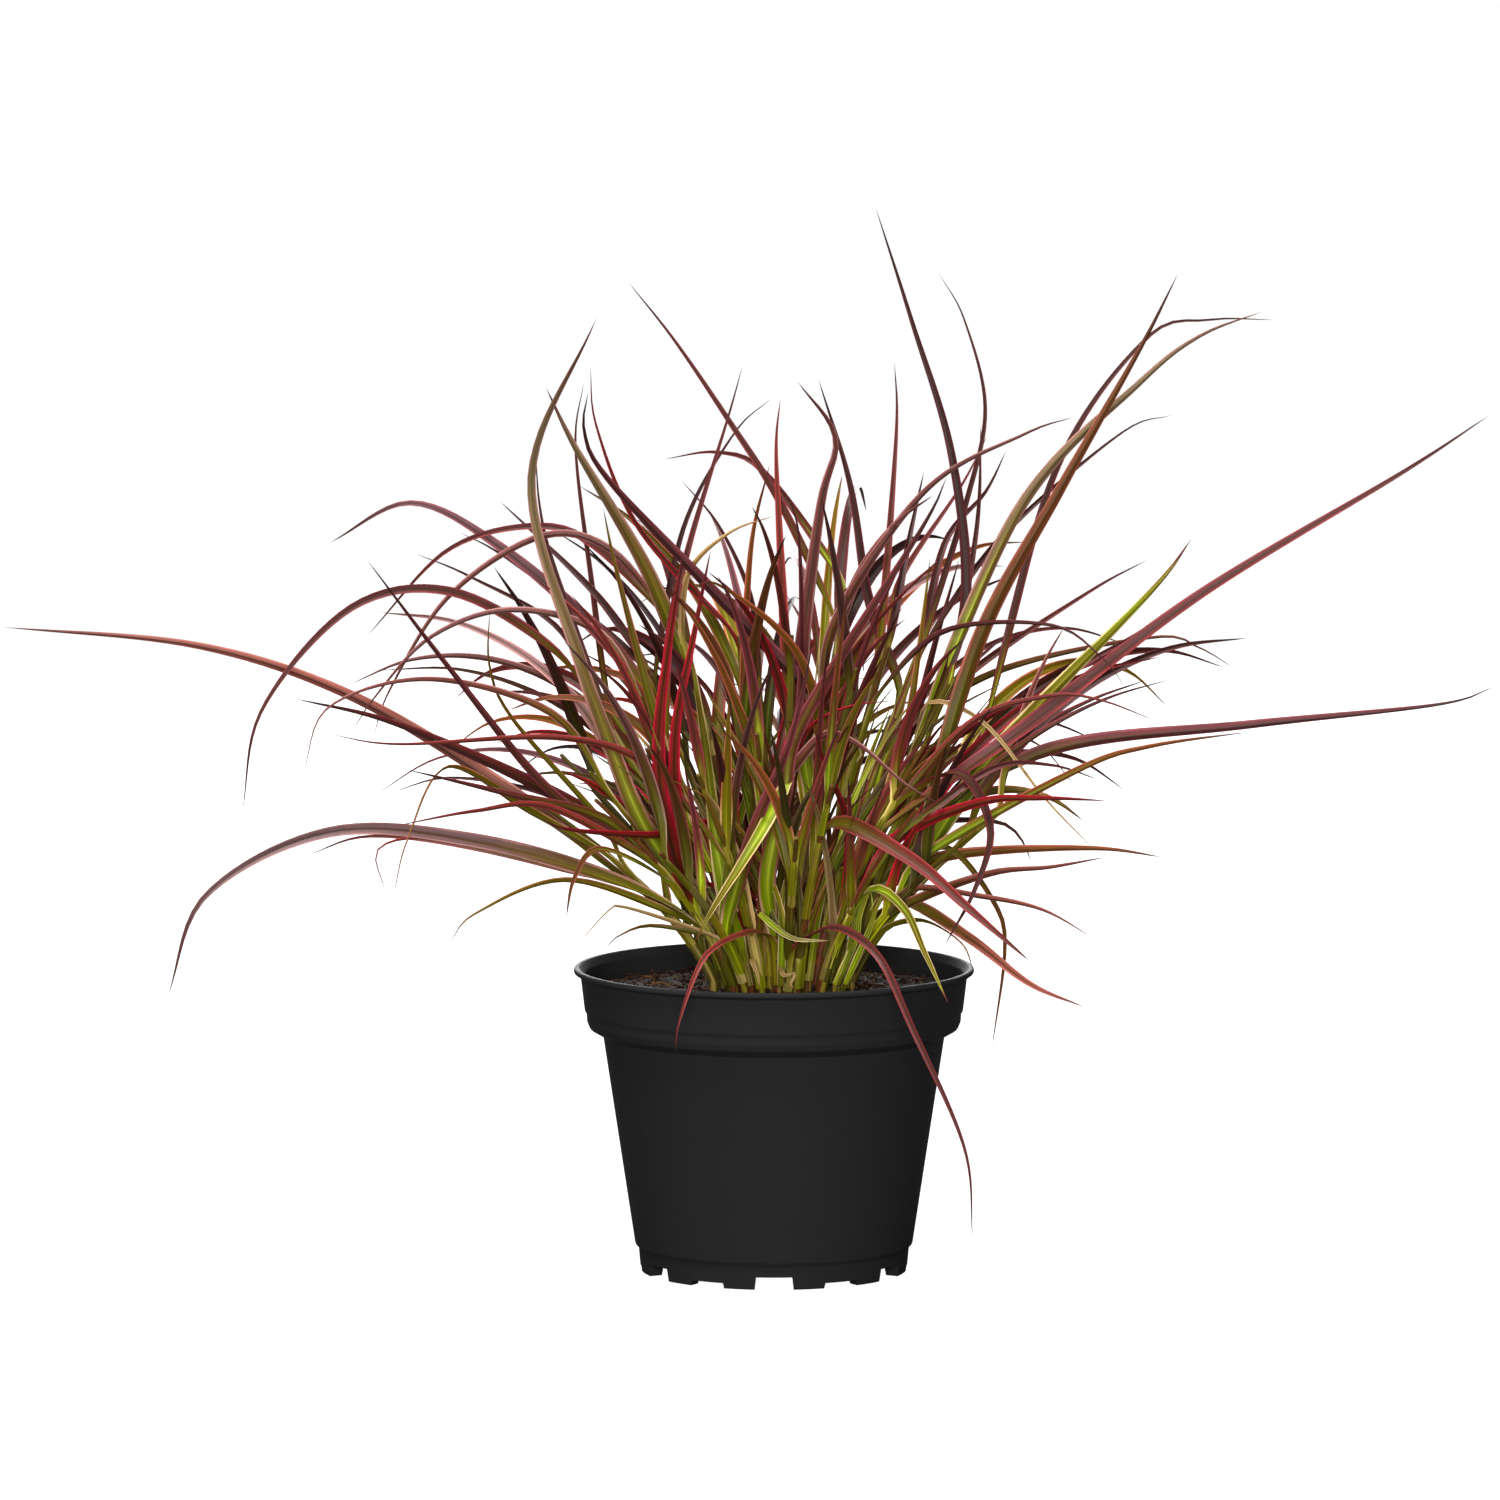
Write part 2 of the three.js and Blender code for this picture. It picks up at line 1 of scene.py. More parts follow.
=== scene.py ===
# Potted purple fountain grass: fine blades, sheaths, peat and a moulded pot round the CAD frame.
# Shapes are worked out in millimetres and written in metres.
import math

import bpy
from mathutils import Matrix, Vector, noise
from mathutils.kdtree import KDTree


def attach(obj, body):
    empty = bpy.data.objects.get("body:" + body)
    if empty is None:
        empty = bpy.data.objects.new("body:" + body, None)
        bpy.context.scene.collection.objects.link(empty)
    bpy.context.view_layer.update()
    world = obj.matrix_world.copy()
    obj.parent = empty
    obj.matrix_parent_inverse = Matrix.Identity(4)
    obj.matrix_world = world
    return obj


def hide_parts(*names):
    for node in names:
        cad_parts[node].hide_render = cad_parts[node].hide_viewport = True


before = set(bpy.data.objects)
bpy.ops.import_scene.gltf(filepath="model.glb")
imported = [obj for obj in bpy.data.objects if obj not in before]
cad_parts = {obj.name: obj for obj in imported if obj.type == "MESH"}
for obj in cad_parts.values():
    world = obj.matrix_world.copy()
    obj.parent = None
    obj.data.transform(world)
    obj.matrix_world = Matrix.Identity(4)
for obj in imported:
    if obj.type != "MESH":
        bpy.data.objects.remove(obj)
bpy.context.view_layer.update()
mm = 0.001
up = Vector((0, 0, 1))
goldenAngle = math.pi * (3 - math.sqrt(5))
fullTurn = 6.28  # near enough for drawn angles
seeds = {
    "stem": 1000, "ruled": 50000, "ruledTone": 7000, "tube": 9000, "blade": 3000,
    "fine": 120000, "fineBlade": 6000, "scrap": 8000, "crumbs": 31, "fibres": 57, "moss": 83,
}


# Small maths

def lerp(a, b, share):
    return a + (b - a) * share


def clamp(value, low=0.0, high=1.0):
    return max(low, min(high, value))


def ease(low, high, value):
    share = clamp((value - low) / (high - low))
    return share * share * (3 - 2 * share)


def draws(seed):  # the same draws as the solids were made with
    mask = 0xFFFFFFFF
    state = seed & mask

    def draw(low=0.0, high=1.0):
        nonlocal state
        state = (state + 0x6D2B79F5) & mask
        t = ((state ^ (state >> 15)) * (1 | state)) & mask
        t = ((t + (t ^ (t >> 7)) * (61 | t)) & mask) ^ t
        return low + (high - low) * (t ^ (t >> 14)) / 4294967296

    return draw


def linear(colour):  # from the 0 to 255 numbers a colour picker shows
    def channel(value):
        value = clamp(value / 255)
        return value / 12.92 if value <= 0.04045 else ((value + 0.055) / 1.055) ** 2.4

    return tuple(channel(value) for value in colour)


def blendColours(a, b, share):
    return tuple(lerp(x, y, share) for x, y in zip(a, b))


def gradient(stops, at):
    for (lowAt, low), (highAt, high) in zip(stops, stops[1:]):
        if at <= highAt:
            return blendColours(low, high, clamp((at - lowAt) / max(highAt - lowAt, 1e-6)))
    return stops[-1][1]


# Node wiring

class Wires:
    def __init__(self, tree):
        self.tree = tree

    def add(self, kind, inputs=None, **settings):
        node = self.tree.nodes.new(kind)
        for name, value in settings.items():
            setattr(node, name, value)
        for name, value in (inputs or {}).items():
            self.put(node.inputs[name], value)
        return node

    def put(self, socket, value):
        if isinstance(value, bpy.types.NodeSocket):
            self.tree.links.new(value, socket)
        else:
            socket.default_value = value

    def math(self, operation, a, b=0.0, c=0.0):
        return self.add("ShaderNodeMath", {0: a, 1: b, 2: c}, operation=operation).outputs[0]

    def mix(self, share, a, b, blend="MIX"):
        node = self.add("ShaderNodeMix", data_type="RGBA", blend_type=blend)
        self.put(node.inputs["Factor"], share)
        self.put(node.inputs[6], a)
        self.put(node.inputs[7], b)
        return node.outputs[2]

    def mapped(self, value, fromLow, fromHigh, toLow=0.0, toHigh=1.0, smooth=True):
        kind = "SMOOTHSTEP" if smooth else "LINEAR"
        node = self.add("ShaderNodeMapRange", {"Value": value}, interpolation_type=kind)
        ends = {"From Min": fromLow, "From Max": fromHigh, "To Min": toLow, "To Max": toHigh}
        for name, number in ends.items():
            self.put(node.inputs[name], number)
        return node.outputs["Result"]

    def noise(self, vector, scale, detail=3.0, roughness=0.5):
        node = self.add("ShaderNodeTexNoise", {"Vector": vector, "Scale": scale, "Detail": detail})
        node.inputs["Roughness"].default_value = roughness
        return node.outputs["Fac"]

    def finish(self, shader, base, roughness, specular):
        self.put(shader.inputs["Base Color"], base)
        self.put(shader.inputs["Roughness"], roughness)
        shader.inputs["Specular IOR Level"].default_value = specular

    def bump(self, shader, height, strength, distance):
        inputs = {"Height": height, "Strength": strength, "Distance": distance}
        self.put(shader.inputs["Normal"], self.add("ShaderNodeBump", inputs).outputs[0])


def newGroup(name, ins, outs):
    group = bpy.data.node_groups.new(name, "ShaderNodeTree")
    for label, kind, value in ins:
        socket = group.interface.new_socket(label, in_out="INPUT", socket_type=kind)
        if value is not None:
            socket.default_value = value
    for label, kind in outs:
        group.interface.new_socket(label, in_out="OUTPUT", socket_type=kind)
    wires = Wires(group)
    return group, wires, wires.add("NodeGroupInput"), wires.add("NodeGroupOutput")


def newMaterial(name):
    material = bpy.data.materials.new(name)
    material.use_nodes = True
    material.node_tree.nodes.clear()
    wires = Wires(material.node_tree)
    shader = wires.add("ShaderNodeBsdfPrincipled")
    output = wires.add("ShaderNodeOutputMaterial")
    wires.tree.links.new(shader.outputs[0], output.inputs["Surface"])
    return material, wires, shader


# Speckle: dust, moss, crumbs and grain all use it
def makeSpeckleGroup():
    ins = [
        ("Vector", "NodeSocketVector", None),
        ("Scale", "NodeSocketFloat", 400.0),
        ("Amount", "NodeSocketFloat", 0.5),
        ("Softness", "NodeSocketFloat", 0.08),
    ]
    outs = [("Mask", "NodeSocketFloat"), ("Grain", "NodeSocketFloat")]
    group, w, given, out = newGroup("speckle", ins, outs)
    grain = w.noise(given.outputs["Vector"], given.outputs["Scale"], 5.0, 0.6)
    high = w.math("ADD", given.outputs["Amount"], given.outputs["Softness"])
    w.put(out.inputs["Mask"], w.mapped(grain, given.outputs["Amount"], high))
    w.put(out.inputs["Grain"], grain)
    return group


def speckle(w, group, place, scale, amount, softness):
    inputs = {"Vector": place, "Scale": scale, "Amount": amount, "Softness": softness}
    return w.add("ShaderNodeGroup", inputs, node_tree=group).outputs


# Meshes

def smooth(mesh, sharpAngle=None):
    mesh.polygons.foreach_set("use_smooth", [True] * len(mesh.polygons))
    if sharpAngle:
        mesh.set_sharp_from_angle(angle=math.radians(sharpAngle))


def meshObject(name, points, faces, material=None):
    mesh = bpy.data.meshes.new(name)
    mesh.from_pydata([point * mm for point in points], [], faces)
    if material:
        mesh.materials.append(material)
    piece = bpy.data.objects.new(name, mesh)
    bpy.context.scene.collection.objects.link(piece)
    return piece


def addTube(points, faces, rings):
    # rings of equal length, joined and closed at both ends
    start, sides = len(points), len(rings[0])
    points += [point for ring in rings for point in ring]
    for i in range(len(rings) - 1):
        for k in range(sides):
            a, n = start + i * sides, (k + 1) % sides
            faces.append((a + k, a + n, a + sides + n, a + sides + k))
    faces.append(tuple(start + k for k in reversed(range(sides))))
    last = start + (len(rings) - 1) * sides
    faces.append(tuple(last + k for k in range(sides)))


# Veins of a blade: fine ridges along it, long streaks, and masks for its rib and its edges
def makeVeinGroup():
    ins = [
        ("Place", "NodeSocketVector", None),
        ("Vein Count", "NodeSocketFloat", 9.0),
        ("Streak Length", "NodeSocketFloat", 30.0),
        ("Edge Start", "NodeSocketFloat", 0.72),
    ]
    outs = [(name, "NodeSocketFloat") for name in ("Veins", "Streaks", "Rib", "Edge", "Height")]
    group, w, given, out = newGroup("blade veins", ins, outs)
    parts = w.add("ShaderNodeSeparateXYZ", {0: given.outputs["Place"]}).outputs
    along, across, seed = parts[0], parts[1], parts[2]
    apart = w.math("MULTIPLY", seed, 97.0)
    stretched = w.add("ShaderNodeCombineXYZ", {
        "X": w.math("MULTIPLY", along, w.math("DIVIDE", 1000.0, given.outputs["Streak Length"])),
        "Y": w.math("MULTIPLY", across, 3.2),
        "Z": apart,
    }).outputs[0]
    streaks = w.noise(stretched, 1.0, 4.0, 0.6)
    ripple = w.math("MULTIPLY_ADD", streaks, 1.6, w.math("MULTIPLY", across, given.outputs["Vein Count"]))
    veins = w.math("MULTIPLY_ADD", w.math("SINE", w.math("MULTIPLY", ripple, math.pi)), 0.5, 0.5)
    side = w.math("ABSOLUTE", across)
    rib = w.mapped(side, 0.05, 0.13, 1.0, 0.0)
    frayed = w.math("MULTIPLY_ADD", streaks, 0.5, w.math("SUBTRACT", side, 0.25))
    edgeEnd = w.math("ADD", given.outputs["Edge Start"], 0.1)
    edge = w.mapped(frayed, given.outputs["Edge Start"], edgeEnd)
    height = w.math("MULTIPLY_ADD", veins, 0.35, w.math("MULTIPLY", rib, 0.6))
    made = {"Veins": veins, "Streaks": streaks, "Rib": rib, "Edge": edge, "Height": height}
    for name, value in made.items():
        w.put(out.inputs[name], value)
    return group


# Blades that show best, with the same values as the solids: tone, width, depth of the tip behind the
# pot's axis, and points from stem to tip as seen from the front. A third value is the point's depth.
# Last come the values that the blade has of its own: how far up it stays green, a fresh foot, a slimmer leaf.
seenBlades = [
    # left, the long reaching ones first
    ["salmon", 7, -20,
     [[-57, 169], [-83, 196], [-130, 232], [-201, 275], [-273, 299], [-366, 308]], {"green": 0.26}],
    ["mauve", 8, -100,
     [[-40, 161], [-73, 185], [-140, 205], [-211, 210], [-270, 180], [-289, 131]], {"green": 0.34}],
    ["maroon", 5, -60, [[-80, 255], [-106, 298], [-154, 325], [-201, 317], [-243, 269], [-253, 219]]],
    ["purple", 7, 40, [[-45, 255], [-83, 305], [-130, 346], [-172, 367], [-211, 348]]],
    ["purple", 5, -90, [[-35, 178], [-59, 195], [-107, 230], [-154, 288], [-193, 340]]],
    ["maroon", 4, 30, [[-40, 307], [-83, 345], [-111, 356], [-154, 345], [-193, 304]]],
    ["dark", 3, 60, [[-71, 274], [-102, 307], [-144, 332], [-170, 343]]],
    ["dark", 3, 80, [[-64, 279], [-87, 312], [-130, 343], [-149, 353]]],
    ["mauve", 4, -30, [[-57, 264], [-83, 305], [-125, 316], [-163, 303], [-190, 274], [-201, 257]]],
    ["mauve", 4, 0, [[-49, 303], [-78, 345], [-111, 351], [-154, 323], [-182, 279], [-191, 254]]],
    ["mauve", 4, -100, [[-64, 226], [-106, 267], [-163, 283], [-211, 270], [-224, 238]]],
    ["dark", 7, -60, [[-54, 193], [-107, 229], [-178, 261], [-228, 274]]],
    ["red", 4, -130, [[-14, 197], [-59, 241], [-102, 255], [-178, 252], [-212, 257]]],
    ["olive", 3, -40, [[-61, 188], [-83, 216], [-124, 264], [-135, 289], [-135, 316]]],
    ["maroon", 5, -110, [[-54, 193], [-83, 217], [-130, 229], [-175, 240]]],
    ["dark", 3, 20, [[-69, 202], [-111, 229], [-154, 236], [-182, 229]]],
    ["olive", 4, -150, [[-78, 193], [-116, 220], [-155, 241], [-174, 207], [-181, 181]]],
    ["red", 4, -120, [[-59, 197], [-107, 222], [-142, 220], [-180, 213]]],
    ["maroon", 4, 30, [[-73, 178], [-140, 202], [-192, 208], [-222, 199]]],
    ["red", 4, -60, [[-59, 173], [-102, 197], [-159, 207], [-188, 202], [-185, 181]]],
    ["olive", 4, -70, [[-50, 161], [-97, 187], [-142, 171], [-155, 156]]],
    ["brown", 4, -110, [[-54, 188], [-83, 202], [-95, 188], [-99, 169]]],
    ["dry", 4, -90, [[-47, 157], [-71, 174], [-80, 171], [-92, 158]], {"slim": 0.6}],
    ["olive", 3, -60, [[-35, 152], [-57, 165], [-74, 160], [-80, 154]]],
    ["crimson", 6, -130, [[-11, 197], [-30, 213], [-54, 208], [-97, 211], [-111, 217]]],
    ["crimson", 6, -20, [[-42, 183], [-64, 214], [-83, 231], [-102, 240]]],
    ["dark", 4, 70, [[-61, 283], [-83, 322], [-111, 350], [-130, 368]]],
    # upper middle
    ["maroon", 4, 20, [[34, 303], [3, 367], [-22, 407], [-47, 444], [-69, 472]]],
    ["sage", 8, -70,
     [[-37, 159], [-62, 213, -68], [-77, 250, -80], [-92, 293, -84], [-115, 379], [-84, 455]],
     {"green": 0.42, "fresh": True}],
    ["dark", 3, 10, [[-83, 288], [-104, 336], [-111, 365], [-113, 393]]],
    ["sage", 8, -20, [[-40, 274], [-61, 336], [-94, 393], [-108, 422]]],
    ["crimson", 3, 40, [[-33, 293], [-64, 355], [-84, 403], [-87, 432]]],
    ["purple", 7, -50, [[27, 255], [-35, 331], [-80, 380], [-90, 402], [-88, 420]]],
    ["dark", 3, 90, [[-71, 279], [-86, 326], [-94, 393], [-90, 425]]],
    ["maroon", 4, 0, [[-52, 250], [-50, 303], [-40, 348], [-22, 407], [-15, 432]]],
    ["dark", 3, 50, [[-54, 274], [-43, 355], [-19, 400], [-1, 417]]],
    ["maroon", 4, 100, [[10, 336], [-4, 381], [-26, 391], [-52, 388]]],
    ["dark", 3, 60, [[-1, 274], [-11, 322], [-26, 356], [-44, 378]]],
    ["brown", 5, -10, [[-14, 231], [-14, 274], [-11, 345], [-2, 386]]],
    ["red", 5, 20, [[12, 264], [3, 345], [1, 393], [3, 417]]],
    ["purple", 4, -90, [[10, 236], [13, 283], [12, 348], [7, 370]]],
    ["dark", 5, 60, [[47, 269], [45, 322], [36, 376], [21, 426]]],
    ["mauve", 8, -40,
     [[10, 226], [12, 279], [22, 365], [29, 398], [11, 425]], {"green": 0.3, "fresh": True}],
    ["dry", 3, -60, [[-50, 298], [-40, 335], [-21, 353], [0, 361]]],
    ["crimson", 7, -76,
     [[-40, 178], [-46, 212, -66], [-47, 258, -72], [-39, 300, -74], [-30, 345]], {"green": 0.04}],
    ["olive", 5, -60, [[-47, 226], [-59, 274], [-75, 336], [-81, 365]]],
    ["brown", 5, -110, [[29, 231], [18, 279], [3, 306], [-28, 329], [-40, 325]]],
    # upper right, with the tallest
    ["dark", 5, 20, [[79, 264], [91, 322], [84, 391], [65, 454], [48, 507]]],
    ["dark", 3, 80, [[74, 312], [91, 367], [100, 412], [90, 454], [78, 476]]],
    ["maroon", 4, 40, [[43, 279], [53, 331], [58, 403], [57, 434]]],
    ["mauve", 5, -30, [[15, 264], [29, 310], [72, 373], [119, 400], [142, 408]]],
    ["dark", 4, 90, [[55, 303], [81, 348], [100, 372], [110, 392]]],
    ["dark", 3, 110, [[84, 303], [96, 355], [98, 405]]],
    ["maroon", 3, 60, [[46, 293], [60, 331], [88, 374], [101, 399]]],
    ["dark", 4, 20, [[53, 303], [64, 350], [71, 382]]],
    ["purple", 8, -90,
     [[-6, 157], [-3, 188, -58], [5, 228, -71], [14, 264, -75], [70, 355, -88], [82, 380]],
     {"green": 0.4, "fresh": True}],
    ["red", 4, -60, [[12, 240], [27, 279], [50, 312], [81, 343]]],
    ["brown", 8, -50, [[53, 207], [98, 303], [136, 374], [173, 440], [191, 476]], {"green": 0.42}],
    ["sage", 7, -20,
     [[55, 245], [117, 365], [173, 424], [201, 446], [231, 458]], {"green": 0.5, "fresh": True}],
    ["dark", 4, 50, [[93, 307], [133, 381], [176, 445], [206, 454], [237, 454]]],
    ["dark", 3, 80, [[69, 288], [107, 350], [164, 400], [189, 409]]],
    # right
    ["maroon", 7, -30, [[50, 212], [122, 262], [202, 323], [297, 381], [339, 409]], {"green": 0.1}],
    ["maroon", 4, 60, [[84, 240], [136, 283], [171, 304], [192, 319]]],
    ["green", 9, -80, [[53, 171], [74, 202], [107, 250], [178, 324], [198, 350]], {"green": 0.6}],
    ["maroon", 4, 90, [[58, 240], [93, 286], [150, 325], [177, 340]]],
    ["dark", 3, -60, [[55, 274], [81, 306], [131, 309], [155, 294], [168, 278]]],
    ["brown", 4, 30, [[50, 240], [107, 287], [180, 303], [202, 298], [219, 288]]],
    ["red", 4, -70, [[41, 217], [93, 262], [131, 275], [155, 273], [182, 263]]],
    ["purple", 7, 0, [[55, 207], [131, 249], [226, 261], [316, 271], [343, 280]], {"green": 0.2}],
    ["brown", 5, -100, [[46, 173], [74, 200], [145, 240], [179, 251], [226, 258]]],
    ["maroon", 4, -40, [[55, 212], [103, 240], [131, 242], [155, 235]]],
    ["crimson", 6, -110, [[36, 183], [60, 208], [98, 224], [127, 226], [159, 225]]],
    ["brown", 6, -60, [[43, 176], [74, 196], [108, 201], [155, 202], [185, 198]]],
    ["salmon", 5, -90, [[43, 157], [65, 176], [103, 190], [131, 193], [158, 198]]],
    ["salmon", 4, -110, [[43, 169], [65, 182], [98, 179], [127, 173], [151, 160]]],
    ["red", 8, -140, [[10, 197], [29, 214], [65, 197], [93, 173], [122, 148]]],
    ["salmon", 6, -130, [[41, 164], [62, 176], [93, 159], [122, 137], [148, 126]]],
    ["brown", 3, -60, [[55, 193], [84, 202], [105, 176], [110, 154], [104, 106]]],
    ["dark", 5, -120, [[55, 226], [88, 238], [103, 212], [96, 183], [81, 155]]],
    ["dark", 3, 20, [[69, 207], [105, 215], [116, 209], [123, 195]]],
    ["dry", 4, -100, [[46, 245], [74, 272], [100, 262], [129, 226], [153, 201]], {"slim": 0.6}],
    ["green", 5, -110, [[31, 164], [46, 182], [62, 173], [72, 152], [83, 128]]],
    ["olive", 4, -90, [[43, 157], [72, 167], [89, 157], [95, 144]]],
    ["crimson", 4, -20, [[55, 226], [98, 262], [122, 278]]],
    ["maroon", 4, 40, [[50, 245], [86, 283], [113, 307]]],
    # middle
    ["olive", 5, -20, [[43, 202], [62, 255], [69, 298], [74, 341]]],
    ["dark", 5, 30, [[48, 221], [67, 264], [76, 298], [88, 341]]],
    ["mauve", 5, -140, [[5, 226], [22, 255], [39, 252], [62, 233], [80, 223]]],
    ["crimson", 3, -110, [[-3, 197], [8, 240], [17, 260], [36, 270], [58, 273]]],
    ["purple", 7, -94,
     [[-37, 161], [-9, 212, -84], [8, 255, -94], [18, 298]], {"green": 0.34, "fresh": True}],
    ["crimson", 4, -100, [[34, 178], [35, 214], [24, 243], [19, 260]]],
    ["green", 8, -74,
     [[-19, 154], [-24, 184, -56], [-29, 220, -66], [-34, 260, -72], [-40, 298]],
     {"green": 0.8, "fresh": True}],
    ["crimson", 8, -88,
     [[-44, 178], [-52, 218, -78], [-55, 255, -84], [-50, 300, -88], [-43, 345]], {"green": 0.04}],
    ["olive", 5, -40, [[8, 188], [-4, 226], [-35, 283]]],
    ["brown", 5, -60, [[-19, 157], [12, 183], [50, 205], [74, 217]]],
    # hanging over the rim at the front
    ["red", 5, -110,
     [[1, 157], [-14, 161, -64], [-33, 150, -92], [-45, 120, -106], [-47, 104, -108]], {"slim": 0.82}],
    ["maroon", 5, -124,
     [[8, 154], [30, 164, -70], [50, 150, -98], [66, 116, -112], [91, 58, -120], [95, 14, -124]],
     {"slim": 0.8, "green": 0.05}],
]

# Tones of a blade: how far up it stays green, then its upper side, underside, edge, rib and tip. The upper
# side tones are greyer, a painted sheen from the light above, and the underside tones are more saturated,
# painted light shining through the blade from behind.
toneRows = {
    "salmon": (0.12, (148, 82, 70), (150, 82, 70), (184, 112, 98), (96, 50, 38), (104, 50, 44)),
    "mauve": (0.2, (120, 90, 91), (112, 56, 54), (160, 112, 106), (84, 60, 52), (78, 40, 36)),
    "maroon": (0.24, (92, 42, 42), (102, 40, 42), (134, 50, 52), (66, 36, 24), (62, 28, 26)),
    "purple": (0.16, (90, 55, 59), (98, 38, 42), (126, 62, 66), (62, 38, 34), (60, 31, 30)),
    "red": (0.2, (114, 40, 38), (120, 40, 38), (148, 58, 56), (76, 42, 24), (88, 32, 32)),
    "dark": (0.14, (68, 32, 31), (84, 28, 28), (104, 40, 42), (52, 30, 18), (46, 22, 21)),
    "olive": (0.5, (88, 74, 8), (104, 88, 8), (168, 98, 66), (112, 106, 16), (88, 42, 32)),
    "brown": (0.3, (106, 52, 22), (126, 64, 30), (162, 86, 66), (86, 62, 14), (80, 38, 26)),
    "dry": (0, (166, 134, 84), (170, 138, 88), (190, 160, 112), (132, 104, 58), (120, 84, 52)),
    # crimson: its strong saturated red is partly the blade's own red and partly painted light glowing through
    # it from behind
    "crimson": (0.06, (128, 12, 28), (150, 12, 34), (180, 22, 46), (62, 40, 8), (92, 24, 28)),
    "sage": (0.4, (114, 92, 78), (106, 88, 62), (150, 104, 94), (92, 78, 56), (96, 56, 48)),
    "pale": (0.6, (186, 178, 116), (186, 180, 120), (214, 190, 146), (140, 150, 56), (166, 112, 88)),
    "lime": (0.8, (138, 162, 10), (154, 178, 18), (196, 196, 84), (168, 184, 66), (150, 142, 38)),
    "green": (0.75, (104, 118, 6), (122, 142, 8), (214, 190, 130), (148, 160, 52), (108, 54, 42)),
}
toneParts = ("green", "top", "under", "edge", "rib", "tip")
tones = {name: dict(zip(toneParts, row)) for name, row in toneRows.items()}
greenTones = {
    "root": (120, 112, 18), "low": (92, 88, 4), "turning": (90, 58, 14), "margin": (214, 188, 130),
    "fresh": (134, 152, 8), "freshLow": (108, 124, 4), "freshRib": (144, 156, 44),
    "sheath": (100, 84, 14), "brown": (70, 38, 16), "pale": (172, 156, 88), "lime": (134, 146, 10),
}

# Clump: the sizes of the solids, in millimetres
clump = {
    "stems": 42, "x": 5, "y": 0, "radius": 35, "lengthOuter": 104, "lengthInner": 186,
    "leanInner": 5, "leanOuter": 46, "radii": (2.7, 2.3, 1.7, 1.2), "slim": 0.8,
    "sunk": 13, "upright": 4, "soilTop": 134, "bladesPerStem": 5, "attempts": 30, "stemsToTry": 4,
    "facing": 70, "bowPhase": 2.98, "matchWithin": 0.05, "lowestRoot": 0.12, "highestRoot": 0.97,
    "turnBy": 0.05, "leanBy": 1.5, "lengthBy": (0.9, 1.1), "bendAt": 0.35, "radiiAt": (0, 0.35, 0.7, 1),
    "offHeight": 0.5, "offDepth": 0.35, "perBlade": 5,  # what speaks against a stem for a blade
}
ruled = {
    "root": (0.42, 0.97), "width": (3.5, 6.5), "spread": 0.9, "pieces": 5, "curve": 1.15,
    "back": {"length": (90, 200), "rise": (52, 80), "droop": (-50, 25)},
    "front": {"length": (70, 130), "rise": (68, 86), "droop": (25, 66)},
    "tones": ("dark", "maroon", "purple", "red", "mauve", "maroon", "olive", "brown", "crimson", "dark"),
}
seenFrom = Vector((-11, -4600, 758))
tips = {}
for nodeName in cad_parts:
    if nodeName.startswith("leafy_stem"):
        vertices = bpy.data.objects[nodeName].data.vertices
        tree = KDTree(len(vertices))
        for number, vertex in enumerate(vertices):
            tree.insert(vertex.co / mm, number)
        tree.balance()
        tips[nodeName] = tree


class Stem:
    def __init__(self, index):
        draw = draws(seeds["stem"] + index)
        share = math.sqrt((index + 0.5) / clump["stems"])
        self.index = index
        self.node = f"leafy_stem_{index + 1:02d}"
        self.turn = index * goldenAngle + draw(-clump["turnBy"], clump["turnBy"])
        self.outward = Vector((math.cos(self.turn), math.sin(self.turn), 0))
        middle = Vector((clump["x"], clump["y"], clump["soilTop"] + clump["upright"]))
        self.foot = middle + self.outward * clump["radius"] * share
        lean = lerp(clump["leanInner"], clump["leanOuter"], share ** 1.4)
        lean = math.radians(lean + draw(-clump["leanBy"], clump["leanBy"]))
        length = lerp(clump["lengthInner"], clump["lengthOuter"], share ** 1.5)
        self.length = length * draw(*clump["lengthBy"])
        self.bend = self.reach(lean / 2, clump["bendAt"] * self.length)
        self.top = self.reach(lean, self.length)
        self.blades = []

    def reach(self, angle, far):
        return self.foot + self.outward * far * math.sin(angle) + up * far * math.cos(angle)

    def point(self, t):
        return self.foot * (1 - t) ** 2 + self.bend * 2 * t * (1 - t) + self.top * t * t

    def direction(self, t):
        return ((self.bend - self.foot) * (1 - t) + (self.top - self.bend) * t).normalized()

    def radius(self, t):
        steps = zip(clump["radiiAt"], clump["radii"])
        return clump["slim"] * gradient([(at, (radius,)) for at, radius in steps], t)[0]

    def share(self, z):
        share = (z - self.foot.z) / (self.top.z - self.foot.z)
        return clamp(share, clump["lowestRoot"], clump["highestRoot"])

    def holds(self, tip):  # true if the solid has a corner where this blade would end
        return tips[self.node].find(tip)[2] < clump["matchWithin"]


def seen(x, z, y):
    share = (y - seenFrom.y) / -seenFrom.y
    return Vector((lerp(seenFrom.x, x, share), y, lerp(seenFrom.z, z, share)))


def bestStems(stems, depth, points):
    x, z = points[0][:2]

    def cost(stem):
        at = stem.point(stem.share(z))
        far = abs(at.x - x) + clump["offHeight"] * abs(at.z - z) + clump["offDepth"] * abs(at.y - depth / 4)
        return far + clump["perBlade"] * len(stem.blades)

    return sorted(stems, key=cost)[: clump["stemsToTry"]]


def seenPath(stem, depth, points, bow, shift):
    root = stem.point(stem.share(points[0][1]))
    reach = [0.0]
    for before, after in zip(points, points[1:]):
        reach.append(reach[-1] + math.hypot(after[0] - before[0], after[1] - before[1]))
    path = [root]
    for point, run in zip(points[1:], reach[1:]):
        share = run / reach[-1]
        y = point[2] if len(point) > 2 else lerp(root.y, depth, share ** 1.3)
        y = y + shift * share + bow * math.sin(clump["bowPhase"] * share)
        path.append(seen(point[0], point[1], y))
    return path


